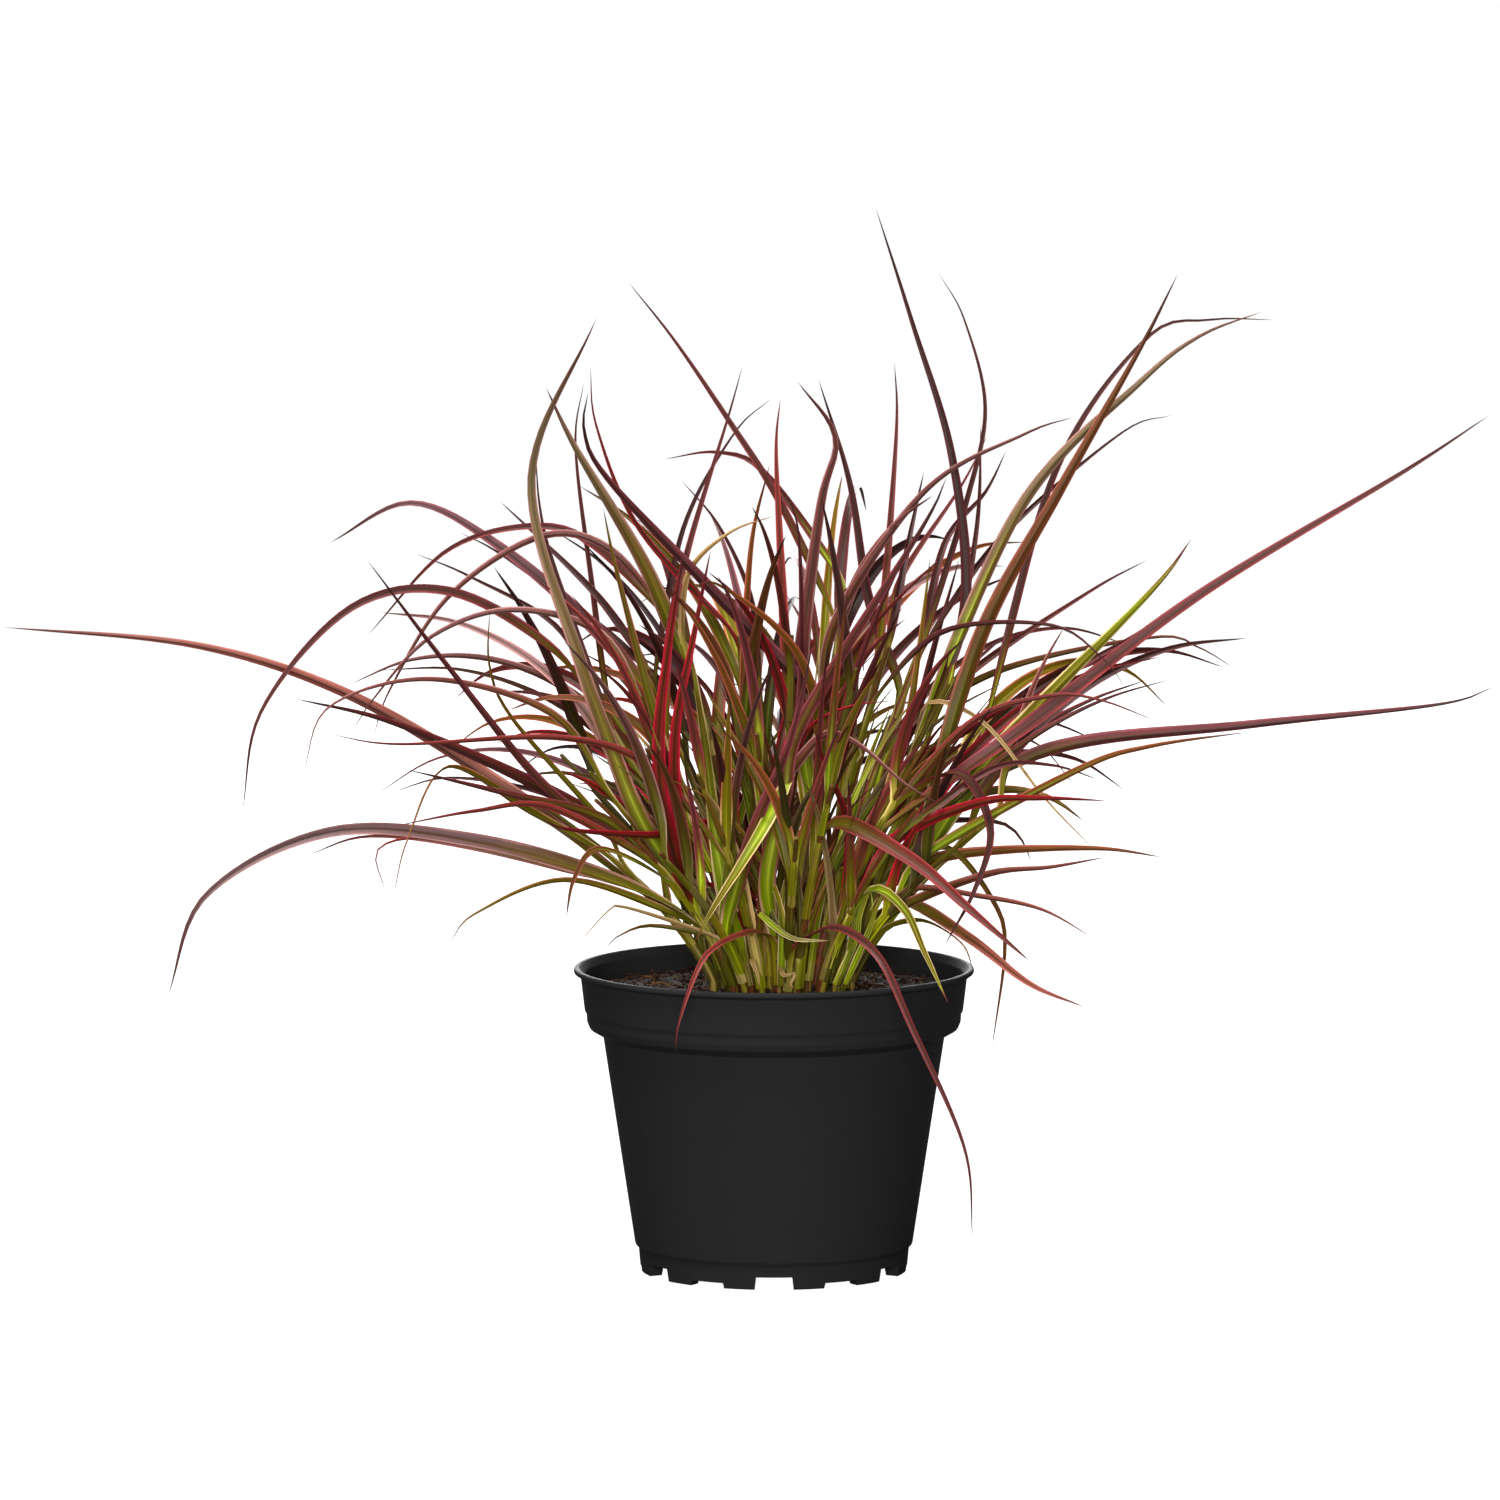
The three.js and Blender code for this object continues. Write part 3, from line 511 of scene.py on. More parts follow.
def archedPath(start, heading, length, rise, droop, pieces, curve=1):
    path = [start]
    for i in range(pieces):
        slope = lerp(rise, droop, ((i + 0.5) / pieces) ** curve)
        flat = Vector((math.cos(heading), math.sin(heading), 0)) * math.cos(slope)
        path.append(path[-1] + (flat + up * math.sin(slope)) * (length / pieces))
    return path


def ruledPath(stem, slot, attempt):
    draw = draws(seeds["ruled"] + stem.index * 997 + slot * 131 + attempt * 7)
    at = draw(*ruled["root"])
    heading = stem.turn + draw(-ruled["spread"], ruled["spread"])
    kind = ruled["back"] if math.sin(heading) > -0.2 else ruled["front"]
    length = draw(*kind["length"])
    rise, droop = math.radians(draw(*kind["rise"])), math.radians(draw(*kind["droop"]))
    path = archedPath(stem.point(at), heading, length, rise, droop, ruled["pieces"], ruled["curve"])
    return path, draw(*ruled["width"]), at


bends = [(bow, shift) for bow in (0, 9, -9, 17, -17, 27, -27)
         for shift in (0, 10, -10, 20, -20, 32, -32, 46, -46, 60, -60)]
bends.sort(key=lambda pair: 1.5 * abs(pair[0]) + abs(pair[1]))


def placeSeen(stems, tone, width, depth, points, own=None):
    for stem in bestStems(stems, depth, points):
        for bend in bends:
            path = seenPath(stem, depth, points, *bend)
            if stem.holds(path[-1]):
                at = stem.share(points[0][1])
                stem.blades.append({"tone": tone, "width": width, "path": path, "at": at, **(own or {})})
                return True
    return False


def placeRuled(stem, slot):
    for attempt in range(clump["attempts"]):
        path, width, at = ruledPath(stem, slot, attempt)
        if stem.holds(path[-1]):
            pick = draws(seeds["ruledTone"] + stem.index * 11 + slot)(0, len(ruled["tones"]))
            tone = ruled["tones"][int(pick)]
            stem.blades.append({"tone": tone, "width": width, "path": path, "at": at, "seen": False})
            return True
    return False


def findBlades(stems):
    found = [placeSeen(stems, *row) for row in seenBlades]
    for stem in stems:
        found += [placeRuled(stem, slot) for slot in range(len(stem.blades), clump["bladesPerStem"])]
    print("blades:", sum(found), "not found:", found.count(False))


# Skins of rings, with what the leaf material reads kept on each point

class Skin:
    def __init__(self):
        self.points, self.faces, self.corners = [], [], []
        self.place, self.body, self.edge = [], [], []
        self.strips = 0

    def add(self, rings, places, bodies, edges):
        # rings of equal length from root to tip; the last may be a single point
        start = []
        for ring, place, body, edge in zip(rings, places, bodies, edges):
            start.append(len(self.points))
            self.points += ring
            self.place += place
            self.body += body
            self.edge += edge
        count, last = len(rings[0]), len(rings) - 1
        for i in range(last):
            v, vNext = i / last, (i + 1) / last
            for k in range(count):
                n = (k + 1) % count
                a, b = start[i] + k, start[i] + n
                u, uNext = k / count, (k + 1) / count
                if len(rings[i + 1]) == 1:
                    self.face((a, b, start[i + 1]), ((u, v), (uNext, v), ((u + uNext) / 2, vNext)))
                else:
                    c, d = start[i + 1] + n, start[i + 1] + k
                    self.face((a, b, c, d), ((u, v), (uNext, v), (uNext, vNext), (u, vNext)))
        cap = [(0.5 + 0.4 * math.cos(k), 0.5 + 0.4 * math.sin(k)) for k in range(count)]
        self.strips += 1
        self.face(tuple(reversed(range(start[0], start[0] + count))), cap)
        if len(rings[-1]) > 1:
            self.face(tuple(range(start[-1], start[-1] + count)), cap)
        self.strips += 1

    def face(self, indices, uvs):
        self.faces.append(indices)
        self.corners += [(self.strips, u, v) for u, v in uvs]

    def make(self, name, material):
        piece = meshObject(name, self.points, self.faces, material)
        mesh = piece.data
        mesh.attributes.new("bladePlace", "FLOAT_VECTOR", "POINT").data.foreach_set(
            "vector", [n for place in self.place for n in place])
        for label, colours in (("bodyTone", self.body), ("edgeTone", self.edge)):
            layer = mesh.color_attributes.new(label, "FLOAT_COLOR", "POINT")
            layer.data.foreach_set("color", [n for colour in colours for n in (*colour, 1.0)])
        layer = mesh.uv_layers.new(name="OFBake")
        across = max(1, math.ceil(math.sqrt(self.strips * 4)))
        down = max(1, math.ceil(self.strips / across))
        flat = []
        for strip, u, v in self.corners:
            column, row = strip % across, strip // across
            # a small margin round each strip
            flat += [(column + 0.04 + 0.92 * u) / across, (row + 0.02 + 0.96 * v) / down]
        layer.data.foreach_set("uv", flat)
        smooth(mesh, bladeShape["sharpAngle"])
        return piece


# Blade: a V-folded ribbon that starts as a sheath round its stem
bladeShape = {
    "ringSpacing": 5.5, "fewestRings": 12, "mostRings": 46, "splineSteps": 14, "sharpAngle": 38,
    "sections": (-1.0, -0.52, 0.0, 0.52, 1.0), "ribThickness": 0.42, "edgeThickness": 0.16,
    "sheathRings": 5, "sheathLength": (14, 30), "sheathGap": 0.16, "swingPast": 34, "swingReach": 15,
    "claspAngle": 1.85, "openAngle": 0.22, "openWithin": 20, "fold": 0.36, "foldRange": (0.6, 1.3),
    "wider": 1.04, "rootWidth": 0.72, "taper": 1.28, "taperPower": 0.75,
    "twist": 0.38, "twistRate": (0.5, 1.3), "rollWithin": 0.3, "ribSpan": 3, "ownRibSpan": {"crimson": 1.15},
    "light": (0.86, 1.14), "ruledLight": (0.5, 1.3), "greenRange": (0.7, 1.3),
    "moreGreenLow": 0.16, "moreGreenHigh": -0.04, "highAbove": 160,
}


def spline(points):
    # uniform Catmull-Rom, as the solids use
    count = bladeShape["splineSteps"]
    ends = [points[0] * 2 - points[1], *points, points[-1] * 2 - points[-2]]
    line = []
    for a, b, c, d in zip(ends, ends[1:], ends[2:], ends[3:]):
        for k in range(count):
            t = k / count
            one, two = (c - a) * 0.5, (d - b) * 0.5
            square, cube = b * -3 + c * 3 - one * 2 - two, b * 2 - c * 2 + one + two
            line.append(b + one * t + square * t ** 2 + cube * t ** 3)
    return [*line, points[-1].copy()]


def spaced(line, count):
    runs = [0.0]
    for before, after in zip(line, line[1:]):
        runs.append(runs[-1] + (after - before).length)
    made, at = [], 0
    for i in range(count + 1):
        goal = runs[-1] * i / count
        while at < len(line) - 2 and runs[at + 1] < goal:
            at += 1
        share = clamp((goal - runs[at]) / max(runs[at + 1] - runs[at], 1e-6))
        made.append(line[at].lerp(line[at + 1], share))
    return made, runs[-1]


# How the green gives way along a blade: the margins turn first and the rib last
turns = {
    "sooner": {"edge": 0.62, "rib": 1.5}, "latest": 0.85, "full": 1.55, "fullBy": 0.93,
    "tipFrom": 0.82, "tip": 0.95, "dryTip": 0.8,
}


def toneAt(tone, fresh, side, along, greenEnd):
    colours, greens = tones[tone], greenTones
    if tone == "dry":
        return gradient([(0, colours[side]), (turns["dryTip"], colours[side]), (1, colours["tip"])], along)
    greenEnd = min(turns["latest"], greenEnd * turns["sooner"].get(side, 1.0))
    if side == "edge":
        rootTone, lowTone = greens["margin"], blendColours(greens["margin"], colours["edge"], 0.25)
    elif fresh:
        rootTone, lowTone = greens["fresh"], greens["freshRib" if side == "rib" else "freshLow"]
    else:
        rootTone, lowTone = greens["root"], greens["low"]
    turning = blendColours(greens["turning"], colours[side], 0.7 if side == "edge" else 0.3)
    full = min(turns["fullBy"], greenEnd * turns["full"])
    return gradient([
        (0, rootTone), (greenEnd * 0.5, lowTone), (greenEnd, turning), (full, colours[side]),
        (max(full, turns["tipFrom"]), colours[side]), (turns["tip"], colours["tip"]), (1, colours["tip"]),
    ], along)


def stemCourse(stem, blade, draw):
    # the sheath runs up its stem, then the blade leaves along it and swings to its own way
    path, at, count = blade["path"], blade["at"], bladeShape["sheathRings"]
    low = max(0.015, at - draw(*bladeShape["sheathLength"]) / stem.length)
    shares = [lerp(low, at, k / count) for k in range(count)]
    toward = path[1] - path[0]
    control = list(path)
    if toward.length > bladeShape["swingPast"]:
        away = (stem.direction(at) * 0.5 + toward.normalized() * 0.5).normalized()
        control.insert(1, path[0] + away * bladeShape["swingReach"])
    return [stem.point(share) for share in shares], shares, control


def addBlade(skin, stem, blade, seed):
    draw = draws(seed)
    s = bladeShape
    path, tone = blade["path"], blade["tone"]
    if stem:
        sheath, shares, control = stemCourse(stem, blade, draw)
        hugging = [stem.radius(share) for share in [*shares, blade["at"]]]
    else:
        sheath, hugging, control = [], [1.0], path
    reach = sum((b - a).length for a, b in zip(path, path[1:]))
    rings = min(s["mostRings"], max(s["fewestRings"], round(reach / s["ringSpacing"])))
    free, length = spaced(spline(control), rings)
    line, low = [*sheath, *free], len(sheath)
    span = path[-1] - path[0]
    heading = math.atan2(span.y, span.x)
    level = Vector((-math.sin(heading), math.cos(heading), 0))
    fullRoll = math.radians(clump["facing"]) * level.y * (-1 if span.y * span.z < 0 else 1)
    twist, twistRate, twistStart = draw(-s["twist"], s["twist"]), draw(*s["twistRate"]), draw(0, fullTurn)
    fold = s["fold"] * draw(*s["foldRange"])
    layer = s["sheathGap"] * (1 + seed % 3)
    rooted = clamp((path[0].z - clump["soilTop"]) / s["highAbove"])
    usual = tones[tone]["green"] + lerp(s["moreGreenLow"], s["moreGreenHigh"], rooted)
    greenEnd = blade.get("green", usual) * draw(*s["greenRange"])
    light = draw(*s["light" if blade.get("seen", True) else "ruledLight"])
    fresh = blade.get("fresh", tone in ("green", "lime", "pale") or seed % 9 == 0)
    other = greenTones[("brown", "pale", "lime")[seed % 3]]
    sheathTone = blendColours(greenTones["sheath"], other, draw(0.1, 0.9))
    sections = s["sections"]
    nearRib = [min(1, abs(u) * s["ownRibSpan"].get(tone, s["ribSpan"])) for u in sections]
    skinRings, places, bodies, edges = [], [], [], []
    tag = (seed % 997) / 997
    for i, centre in enumerate(line):
        before, after = line[max(i - 1, 0)], line[min(i + 1, len(line) - 1)]
        direction = (after - before).normalized()
        along = max(0.0, (i - low) / (len(free) - 1))
        clasp = 1 - ease(0, s["openWithin"], along * length) if stem else 0.0
        side = (level - direction * level.dot(direction)).normalized()
        above = direction.cross(side)
        turning = math.sin(twistRate * fullTurn * along + twistStart) * twist * along ** 0.7
        roll = fullRoll * (ease(0.0, s["rollWithin"], along) if stem else 1.0) + turning
        acrossWay = side * math.cos(roll) + above * math.sin(roll)
        normal = direction.cross(acrossWay)
        tail = min(1.0, s["taper"] * (1 - along) ** s["taperPower"])
        opened = blade["width"] * blade.get("slim", s["wider"]) / 2 * tail
        opened *= lerp(s["rootWidth"], 1.0, ease(0, 0.16, along))
        hug = hugging[min(i, len(hugging) - 1)] + layer
        angle = lerp(s["openAngle"], s["claspAngle"], clasp)
        half = lerp(opened, s["claspAngle"] * hug, clasp)
        radius = half / angle
        rib = centre - normal * hug * clasp
        ringTones = {}
        for label in ("top", "under", "edge", "rib"):
            colour = toneAt(tone, fresh, label, along, greenEnd)
            if i < low + 2:
                colour = blendColours(colour, sheathTone, 0.75 if i < low else 0.4)
            ringTones[label] = linear([value * light for value in colour])
        if i == len(line) - 1:
            skinRings.append([centre])
            bodies.append([ringTones["top"]])
            edges.append([ringTones["edge"]])
            places.append([(1.0, 0.0, tag)])
            continue
        top, under = [], []
        for u in sections:
            turn = u * angle
            x, rise = radius * math.sin(turn), radius * (1 - math.cos(turn))
            rise += math.tan(fold) * abs(x) * (1 - clasp)
            skinWay = normal * math.cos(turn) - acrossWay * math.sin(turn)
            thick = lerp(s["ribThickness"], s["edgeThickness"], abs(u)) * lerp(0.5, 1, tail)
            spot = rib + acrossWay * x + normal * rise
            top.append(spot)
            under.append(spot - skinWay * thick)
        skinRings.append(top[::-1] + under)
        # upper side points take the top tone with its painted sheen, underside points the under tone with its
        # painted light from behind
        upper = [blendColours(ringTones["rib"], ringTones["top"], 0.1 + 0.9 * near) for near in nearRib]
        lower = [blendColours(ringTones["rib"], ringTones["under"], 0.1 + 0.9 * near) for near in nearRib]
        bodies.append(upper[::-1] + lower)
        edges.append([ringTones["edge"]] * (2 * len(sections)))
        shown = along if i >= low else -0.1 * (low - i) / low
        row = [(shown * length / 1000, u, tag) for u in sections]
        places.append(row[::-1] + row)
    skin.add(skinRings, places, bodies, edges)


# Stem: a tube with one swollen joint, greenest at the foot
stemShape = {
    "sides": 12, "steps": 22, "joint": (0.25, 0.5), "swelling": 0.12, "oval": 0.05, "tip": 0.5,
    "lowTones": ((126, 120, 20), (160, 134, 66)), "highTones": ((100, 94, 10), (84, 48, 22)),
    "streakTones": ((110, 54, 34), (78, 80, 10)), "jointTone": (88, 60, 44),
}


def addStemTube(skin, stem):
    draw = draws(seeds["tube"] + stem.index)
    s = stemShape
    sides, steps = s["sides"], s["steps"]
    tint = draw(0, 1)
    joint = draw(*s["joint"])
    lowColour = blendColours(*s["lowTones"], tint)
    highColour = blendColours(*s["highTones"], draw(0, 1))
    streak = blendColours(*s["streakTones"], draw(0, 1))
    rings, places, bodies, edges = [], [], [], []
    for i in range(steps + 1):
        t = i / steps
        centre = stem.point(t)
        radius = stem.radius(t) * (1 + s["swelling"] * math.exp(-((t - joint) * 40) ** 2))
        direction = stem.direction(t)
        if i == 0:
            centre, direction = stem.foot - up * (clump["sunk"] - 0.5), up
        elif i == 1:
            centre, direction = stem.foot.copy(), up
        side = (Vector((1, 0, 0)) - direction * direction.x).normalized()
        other = direction.cross(side)
        colour = blendColours(lowColour, highColour, ease(0.05, 0.5, t))
        colour = blendColours(colour, s["jointTone"], 0.7 * math.exp(-((t - joint) * 60) ** 2))
        ring, here = [], []
        for k in range(sides):
            angle = 2 * math.pi * k / sides
            far = radius * (1 + s["oval"] * math.cos(2 * angle + stem.index))
            ring.append(centre + side * far * math.cos(angle) + other * far * math.sin(angle))
            here.append((t, math.cos(angle + stem.index) * 1.3, (stem.index * 37 % 101) / 101))
        rings.append(ring)
        places.append(here)
        bodies.append([linear(colour)] * sides)
        edges.append([linear(streak)] * sides)
    rings.append([stem.point(1) + stem.direction(1) * s["tip"]])
    places.append([(1.0, 0.0, 0.0)])
    bodies.append([linear(highColour)])
    edges.append([linear(streak)])
    skin.add(rings, places, bodies, edges)


# Fine blades inside the clump, too thin for the solids
fineBlades = {
    "perStem": 3, "lengths": (45, 130), "widths": (1.8, 4.4), "roots": (0.06, 0.5), "spread": 1.4,
    "rise": (66, 86), "droop": (15, 72), "pieces": 4,
    "tones": ("green", "olive", "brown", "green", "crimson", "maroon", "olive", "dry"),
}


def fineBlade(stem, slot):
    draw = draws(seeds["fine"] + stem.index * 31 + slot)
    f = fineBlades
    at = draw(*f["roots"])
    heading = stem.turn + draw(-f["spread"], f["spread"])
    length = draw(*f["lengths"])
    rise, droop = math.radians(draw(*f["rise"])), math.radians(draw(*f["droop"]))
    path = archedPath(stem.point(at), heading, length, rise, droop, f["pieces"])
    tone = f["tones"][int(draw(0, len(f["tones"])))]
    return {"path": path, "width": draw(*f["widths"]), "at": at, "tone": tone, "seen": False}


def makeLeafMaterial(veinGroup):
    material, w, shader = newMaterial("grass leaf")
    place = w.add("ShaderNodeAttribute", attribute_name="bladePlace").outputs["Vector"]
    body = w.add("ShaderNodeAttribute", attribute_name="bodyTone").outputs["Color"]
    edge = w.add("ShaderNodeAttribute", attribute_name="edgeTone").outputs["Color"]
    veins = w.add("ShaderNodeGroup", {"Place": place}, node_tree=veinGroup).outputs
    base = w.mix(veins["Edge"], body, edge)
    streakShade = w.mapped(veins["Streaks"], 0.25, 0.75, 0.62, 1.34, smooth=False)
    veinShade = w.mapped(veins["Veins"], 0.0, 1.0, 0.86, 1.1, smooth=False)
    parts = w.add("ShaderNodeSeparateColor", {0: body}).outputs
    greenness = w.math("DIVIDE", parts[1], w.math("MAXIMUM", parts[0], 0.001))
    ribLift = w.math("SUBTRACT", w.mapped(greenness, 0.3, 0.95, 0.5, 1.4), 1.0)
    ribShade = w.math("MULTIPLY_ADD", veins["Rib"], ribLift, 1.0)
    shade = w.math("MULTIPLY", w.math("MULTIPLY", streakShade, veinShade), ribShade)
    grey = w.add("ShaderNodeCombineColor", {0: shade, 1: shade, 2: shade}).outputs[0]
    roughness = w.mapped(veins["Streaks"], 0.2, 0.8, 0.38, 0.54)
    w.finish(shader, w.mix(1.0, base, grey, "MULTIPLY"), roughness, 0.17)
    w.bump(shader, veins["Height"], 0.5, 0.00012)
    return material


# Pot: a thin moulded shell with a stepped rim band and a ring of short feet
pot = {
    # pairs of radius and height: up the outside from the middle of the base, then down the inside
    "outside": [
        (0, 0), (9, 0), (10, 6), (56, 6), (57, 0), (63.6, 0), (64.6, 11), (66.3, 13), (81.5, 113.2),
        (87.9, 116.8), (89.1, 119.8), (89.3, 123.6), (90.2, 125), (92.2, 141.8), (95.3, 143.2),
        (95.3, 144.7), (94.5, 145.5),
    ],
    "inside": [(93, 145.5), (90.4, 141.8), (87.3, 119.8), (79.7, 113.2), (64.5, 13), (62.7, 8.6), (0, 8.6)],
    "corner": 0.5, "cornerSteps": 4, "sides": 240, "sharpAngle": 32,
    "feet": 12, "gapFrom": -54, "gapTo": -70, "gapLow": 9.3, "gapHigh": 8.5, "gapRises": (6.04, 2.6),
    "drains": 6, "drainRadius": 4.5, "drainRing": 49, "drainSides": 32, "drainHeights": (0.5, 17.2),
}


def rounded(profile, radius, steps):
    # each inner corner of a profile becomes a small arc
    made = [profile[0]]
    for before, corner, after in zip(profile, profile[1:], profile[2:]):
        a, b, c = Vector(before), Vector(corner), Vector(after)
        near = min(radius, (a - b).length * 0.45, (c - b).length * 0.45)
        start, end = b + (a - b).normalized() * near, b + (c - b).normalized() * near
        for k in range(steps + 1):
            t = k / steps
            made.append(tuple(start * (1 - t) ** 2 + b * 2 * t * (1 - t) + end * t * t))
    return [*made, profile[-1]]


def lathe(profile, sides):
    # the profile starts and ends on the axis, where a ring shrinks to one point
    points, faces, rows = [], [], []
    for radius, height in profile:
        if radius < 1e-6:
            rows.append([len(points)] * sides)
            points.append(Vector((0, 0, height)))
            continue
        rows.append(list(range(len(points), len(points) + sides)))
        for k in range(sides):
            angle = 2 * math.pi * k / sides
            points.append(Vector((radius * math.sin(angle), -radius * math.cos(angle), height)))
    for low, high in zip(rows, rows[1:]):
        for k in range(sides):
            n = (k + 1) % sides
            face = [low[k], low[n], high[n], high[k]]
            face = [v for i, v in enumerate(face) if v != face[i - 1]]
            if len(face) > 2:
                faces.append(face)
    return points, faces


def makePot(material):
    p = pot
    profile = rounded([*p["outside"], *p["inside"]], p["corner"], p["cornerSteps"])
    shell = meshObject("pot_shell", *lathe(profile, p["sides"]), material)
    points, faces = [], []
    low, high = p["gapLow"], p["gapHigh"]
    for i in range(p["feet"]):
        rise = p["gapRises"][i % 2]
        turn = Matrix.Rotation(2 * math.pi * i / p["feet"], 3, "Z")
        section = ((-low, -1), (low, -1), (high, rise), (-high, rise))
        ends = (p["gapFrom"], p["gapTo"])
        addTube(points, faces, [[turn @ Vector((x, y, z)) for x, z in section] for y in ends])
    angles = [2 * math.pi * k / p["drainSides"] for k in range(p["drainSides"])]
    for i in range(p["drains"]):
        middle = Matrix.Rotation(2 * math.pi * i / p["drains"], 3, "Z") @ Vector((0, -p["drainRing"], 0))
        circle = [Vector((math.cos(angle), math.sin(angle), 0)) * p["drainRadius"] for angle in angles]
        addTube(points, faces, [[middle + spot + up * z for spot in circle] for z in p["drainHeights"]])
    cutter = meshObject("pot_cutter", points, faces)
    cut = shell.modifiers.new("feet and drains", "BOOLEAN")
    cut.operation, cut.object, cut.solver = "DIFFERENCE", cutter, "EXACT"
    evaluated = shell.evaluated_get(bpy.context.evaluated_depsgraph_get())
    mesh = bpy.data.meshes.new_from_object(evaluated)
    shell.modifiers.clear()
    shell.data = mesh
    mesh.materials.clear()
    mesh.materials.append(material)
    bpy.data.objects.remove(cutter)
    smooth(mesh, p["sharpAngle"])
    return shell


def makePlasticMaterial(speckleGroup):
    material, w, shader = newMaterial("black plastic")
    place = w.add("ShaderNodeTexCoord").outputs["Object"]
    grain = speckle(w, speckleGroup, place, 900.0, 0.45, 0.2)["Grain"]
    dust = speckle(w, speckleGroup, place, 260.0, 0.66, 0.05)["Mask"]
    cloud = w.noise(place, 14.0, 3.0)
    black = w.mix(cloud, (0.017, 0.017, 0.0171, 1), (0.0208, 0.0208, 0.021, 1))
    height = w.add("ShaderNodeSeparateXYZ", {0: place}).outputs[2]
    nearRim = w.mapped(height, 0.10, 0.146, 0.05, 0.35)
    base = w.mix(w.math("MULTIPLY", dust, nearRim), black, (0.035, 0.026, 0.018, 1))
    matt = w.math("MULTIPLY_ADD", grain, 0.12, 0.42)
    w.finish(shader, base, w.math("MULTIPLY_ADD", cloud, 0.1, matt), 0.02)
    w.bump(shader, grain, 0.35, 0.0002)
    return material


# Peat: a lumpy plug, with loose crumbs, fibres and bits of moss on it
soil = {
    "rings": 74, "spokes": 200, "edge": 88, "floorGap": 0.3, "wallGap": 0.8,
    "lump": 1.6, "rough": ((0.11, 2.2), (0.45, 0.9), (1.3, 0.45)), "dip": 1.2,  # rough: scales and heights
    "crumbs": 1500, "crumbSize": (0.5, 2.1), "crumbAngle": 50, "crumbRing": (0, 87),
    "fibres": 260, "fibreLength": (4, 17), "fibreCurl": 1.6, "fibreRadius": (0.14, 0.42), "fibreSteps": 7,
    "fibreReach": 86,
    "moss": 150, "mossRing": (26, 82), "mossLength": (0.8, 2.4), "mossRadius": (0.15, 0.35),
}


def soilHeight(x, y):
    lump = math.sin(x / 9) * math.cos(y / 7) + 0.6 * math.sin((x + y) / 4.5)
    spot = Vector((x, y, 0))
    rough = sum(noise.noise(spot * scale) * height for scale, height in soil["rough"])
    return clump["soilTop"] + soil["lump"] * lump * 0.6 + rough - soil["dip"] * ease(70, 88, math.hypot(x, y))


def makeSoil(material):
    side = [(radius - soil["wallGap"], height) for radius, height in pot["inside"][-2:1:-1]]
    floor = side[0][1] + soil["floorGap"]
    lower = [(0, floor), (side[0][0], floor), *side[1:]]
    top = [(soil["edge"] * k / soil["rings"], 0) for k in range(soil["rings"], -1, -1)]
    points, faces = lathe([*lower, *top], soil["spokes"])
    for point in points:
        if point.z < 1:
            point.z = soilHeight(point.x, point.y)
    plug = meshObject("soil_plug", points, faces, material)
    smooth(plug.data)
    return plug


def addPebble(points, faces, centre, size, draw):
    # an octahedron cut once more and pushed about: 32 small faces
    start = len(points)
    corners = [Vector(c) for c in ((1, 0, 0), (-1, 0, 0), (0, 1, 0), (0, -1, 0), (0, 0, 1), (0, 0, -1))]
    triangles = [(0, 2, 4), (2, 1, 4), (1, 3, 4), (3, 0, 4), (2, 0, 5), (1, 2, 5), (3, 1, 5), (0, 3, 5)]
    middles, finer = {}, []
    for a, b, c in triangles:
        ids = []
        for edge in ((a, b), (b, c), (c, a)):
            key = tuple(sorted(edge))
            if key not in middles:
                middles[key] = len(corners)
                corners.append((corners[key[0]] + corners[key[1]]).normalized())
            ids.append(middles[key])
        finer += [(a, ids[0], ids[2]), (ids[0], b, ids[1]), (ids[2], ids[1], c), tuple(ids)]
    stretch = Vector((draw(0.7, 1.5), draw(0.6, 1.1), draw(0.5, 0.9)))
    turn = Matrix.Rotation(draw(0, fullTurn), 3, "Z") @ Matrix.Rotation(draw(-0.7, 0.7), 3, "X")
    for corner in corners:
        points.append(centre + turn @ (corner * draw(0.72, 1.15) * size * stretch))
    faces += [tuple(start + k for k in triangle) for triangle in finer]


def topSpot(draw, inner, outer):
    angle, far = draw(0, 2 * math.pi), math.sqrt(draw(inner ** 2, outer ** 2))
    x, y = far * math.cos(angle), far * math.sin(angle)
    return Vector((x, y, soilHeight(x, y)))


def makeCrumbs(material):
    draw = draws(seeds["crumbs"])
    points, faces = [], []
    for _ in range(soil["crumbs"]):
        size = lerp(*soil["crumbSize"], draw() ** 2.2)
        spot = topSpot(draw, *soil["crumbRing"])
        addPebble(points, faces, spot + up * size * draw(-0.1, 0.5), size, draw)
    crumbs = meshObject("soil_crumbs", points, faces, material)
    smooth(crumbs.data, soil["crumbAngle"])
    return crumbs


def addThread(points, faces, line, radius, sides=5):
    rings, last = [], len(line) - 1
    for i, centre in enumerate(line):
        direction = (line[min(i + 1, last)] - line[max(i - 1, 0)]).normalized()
        side = direction.orthogonal().normalized()
        other = direction.cross(side)
        slim = radius * (1 - 0.75 * abs(2 * i / last - 1) ** 2)
        angles = [2 * math.pi * k / sides for k in range(sides)]
        rings.append([centre + (side * math.cos(angle) + other * math.sin(angle)) * slim for angle in angles])
    addTube(points, faces, rings)


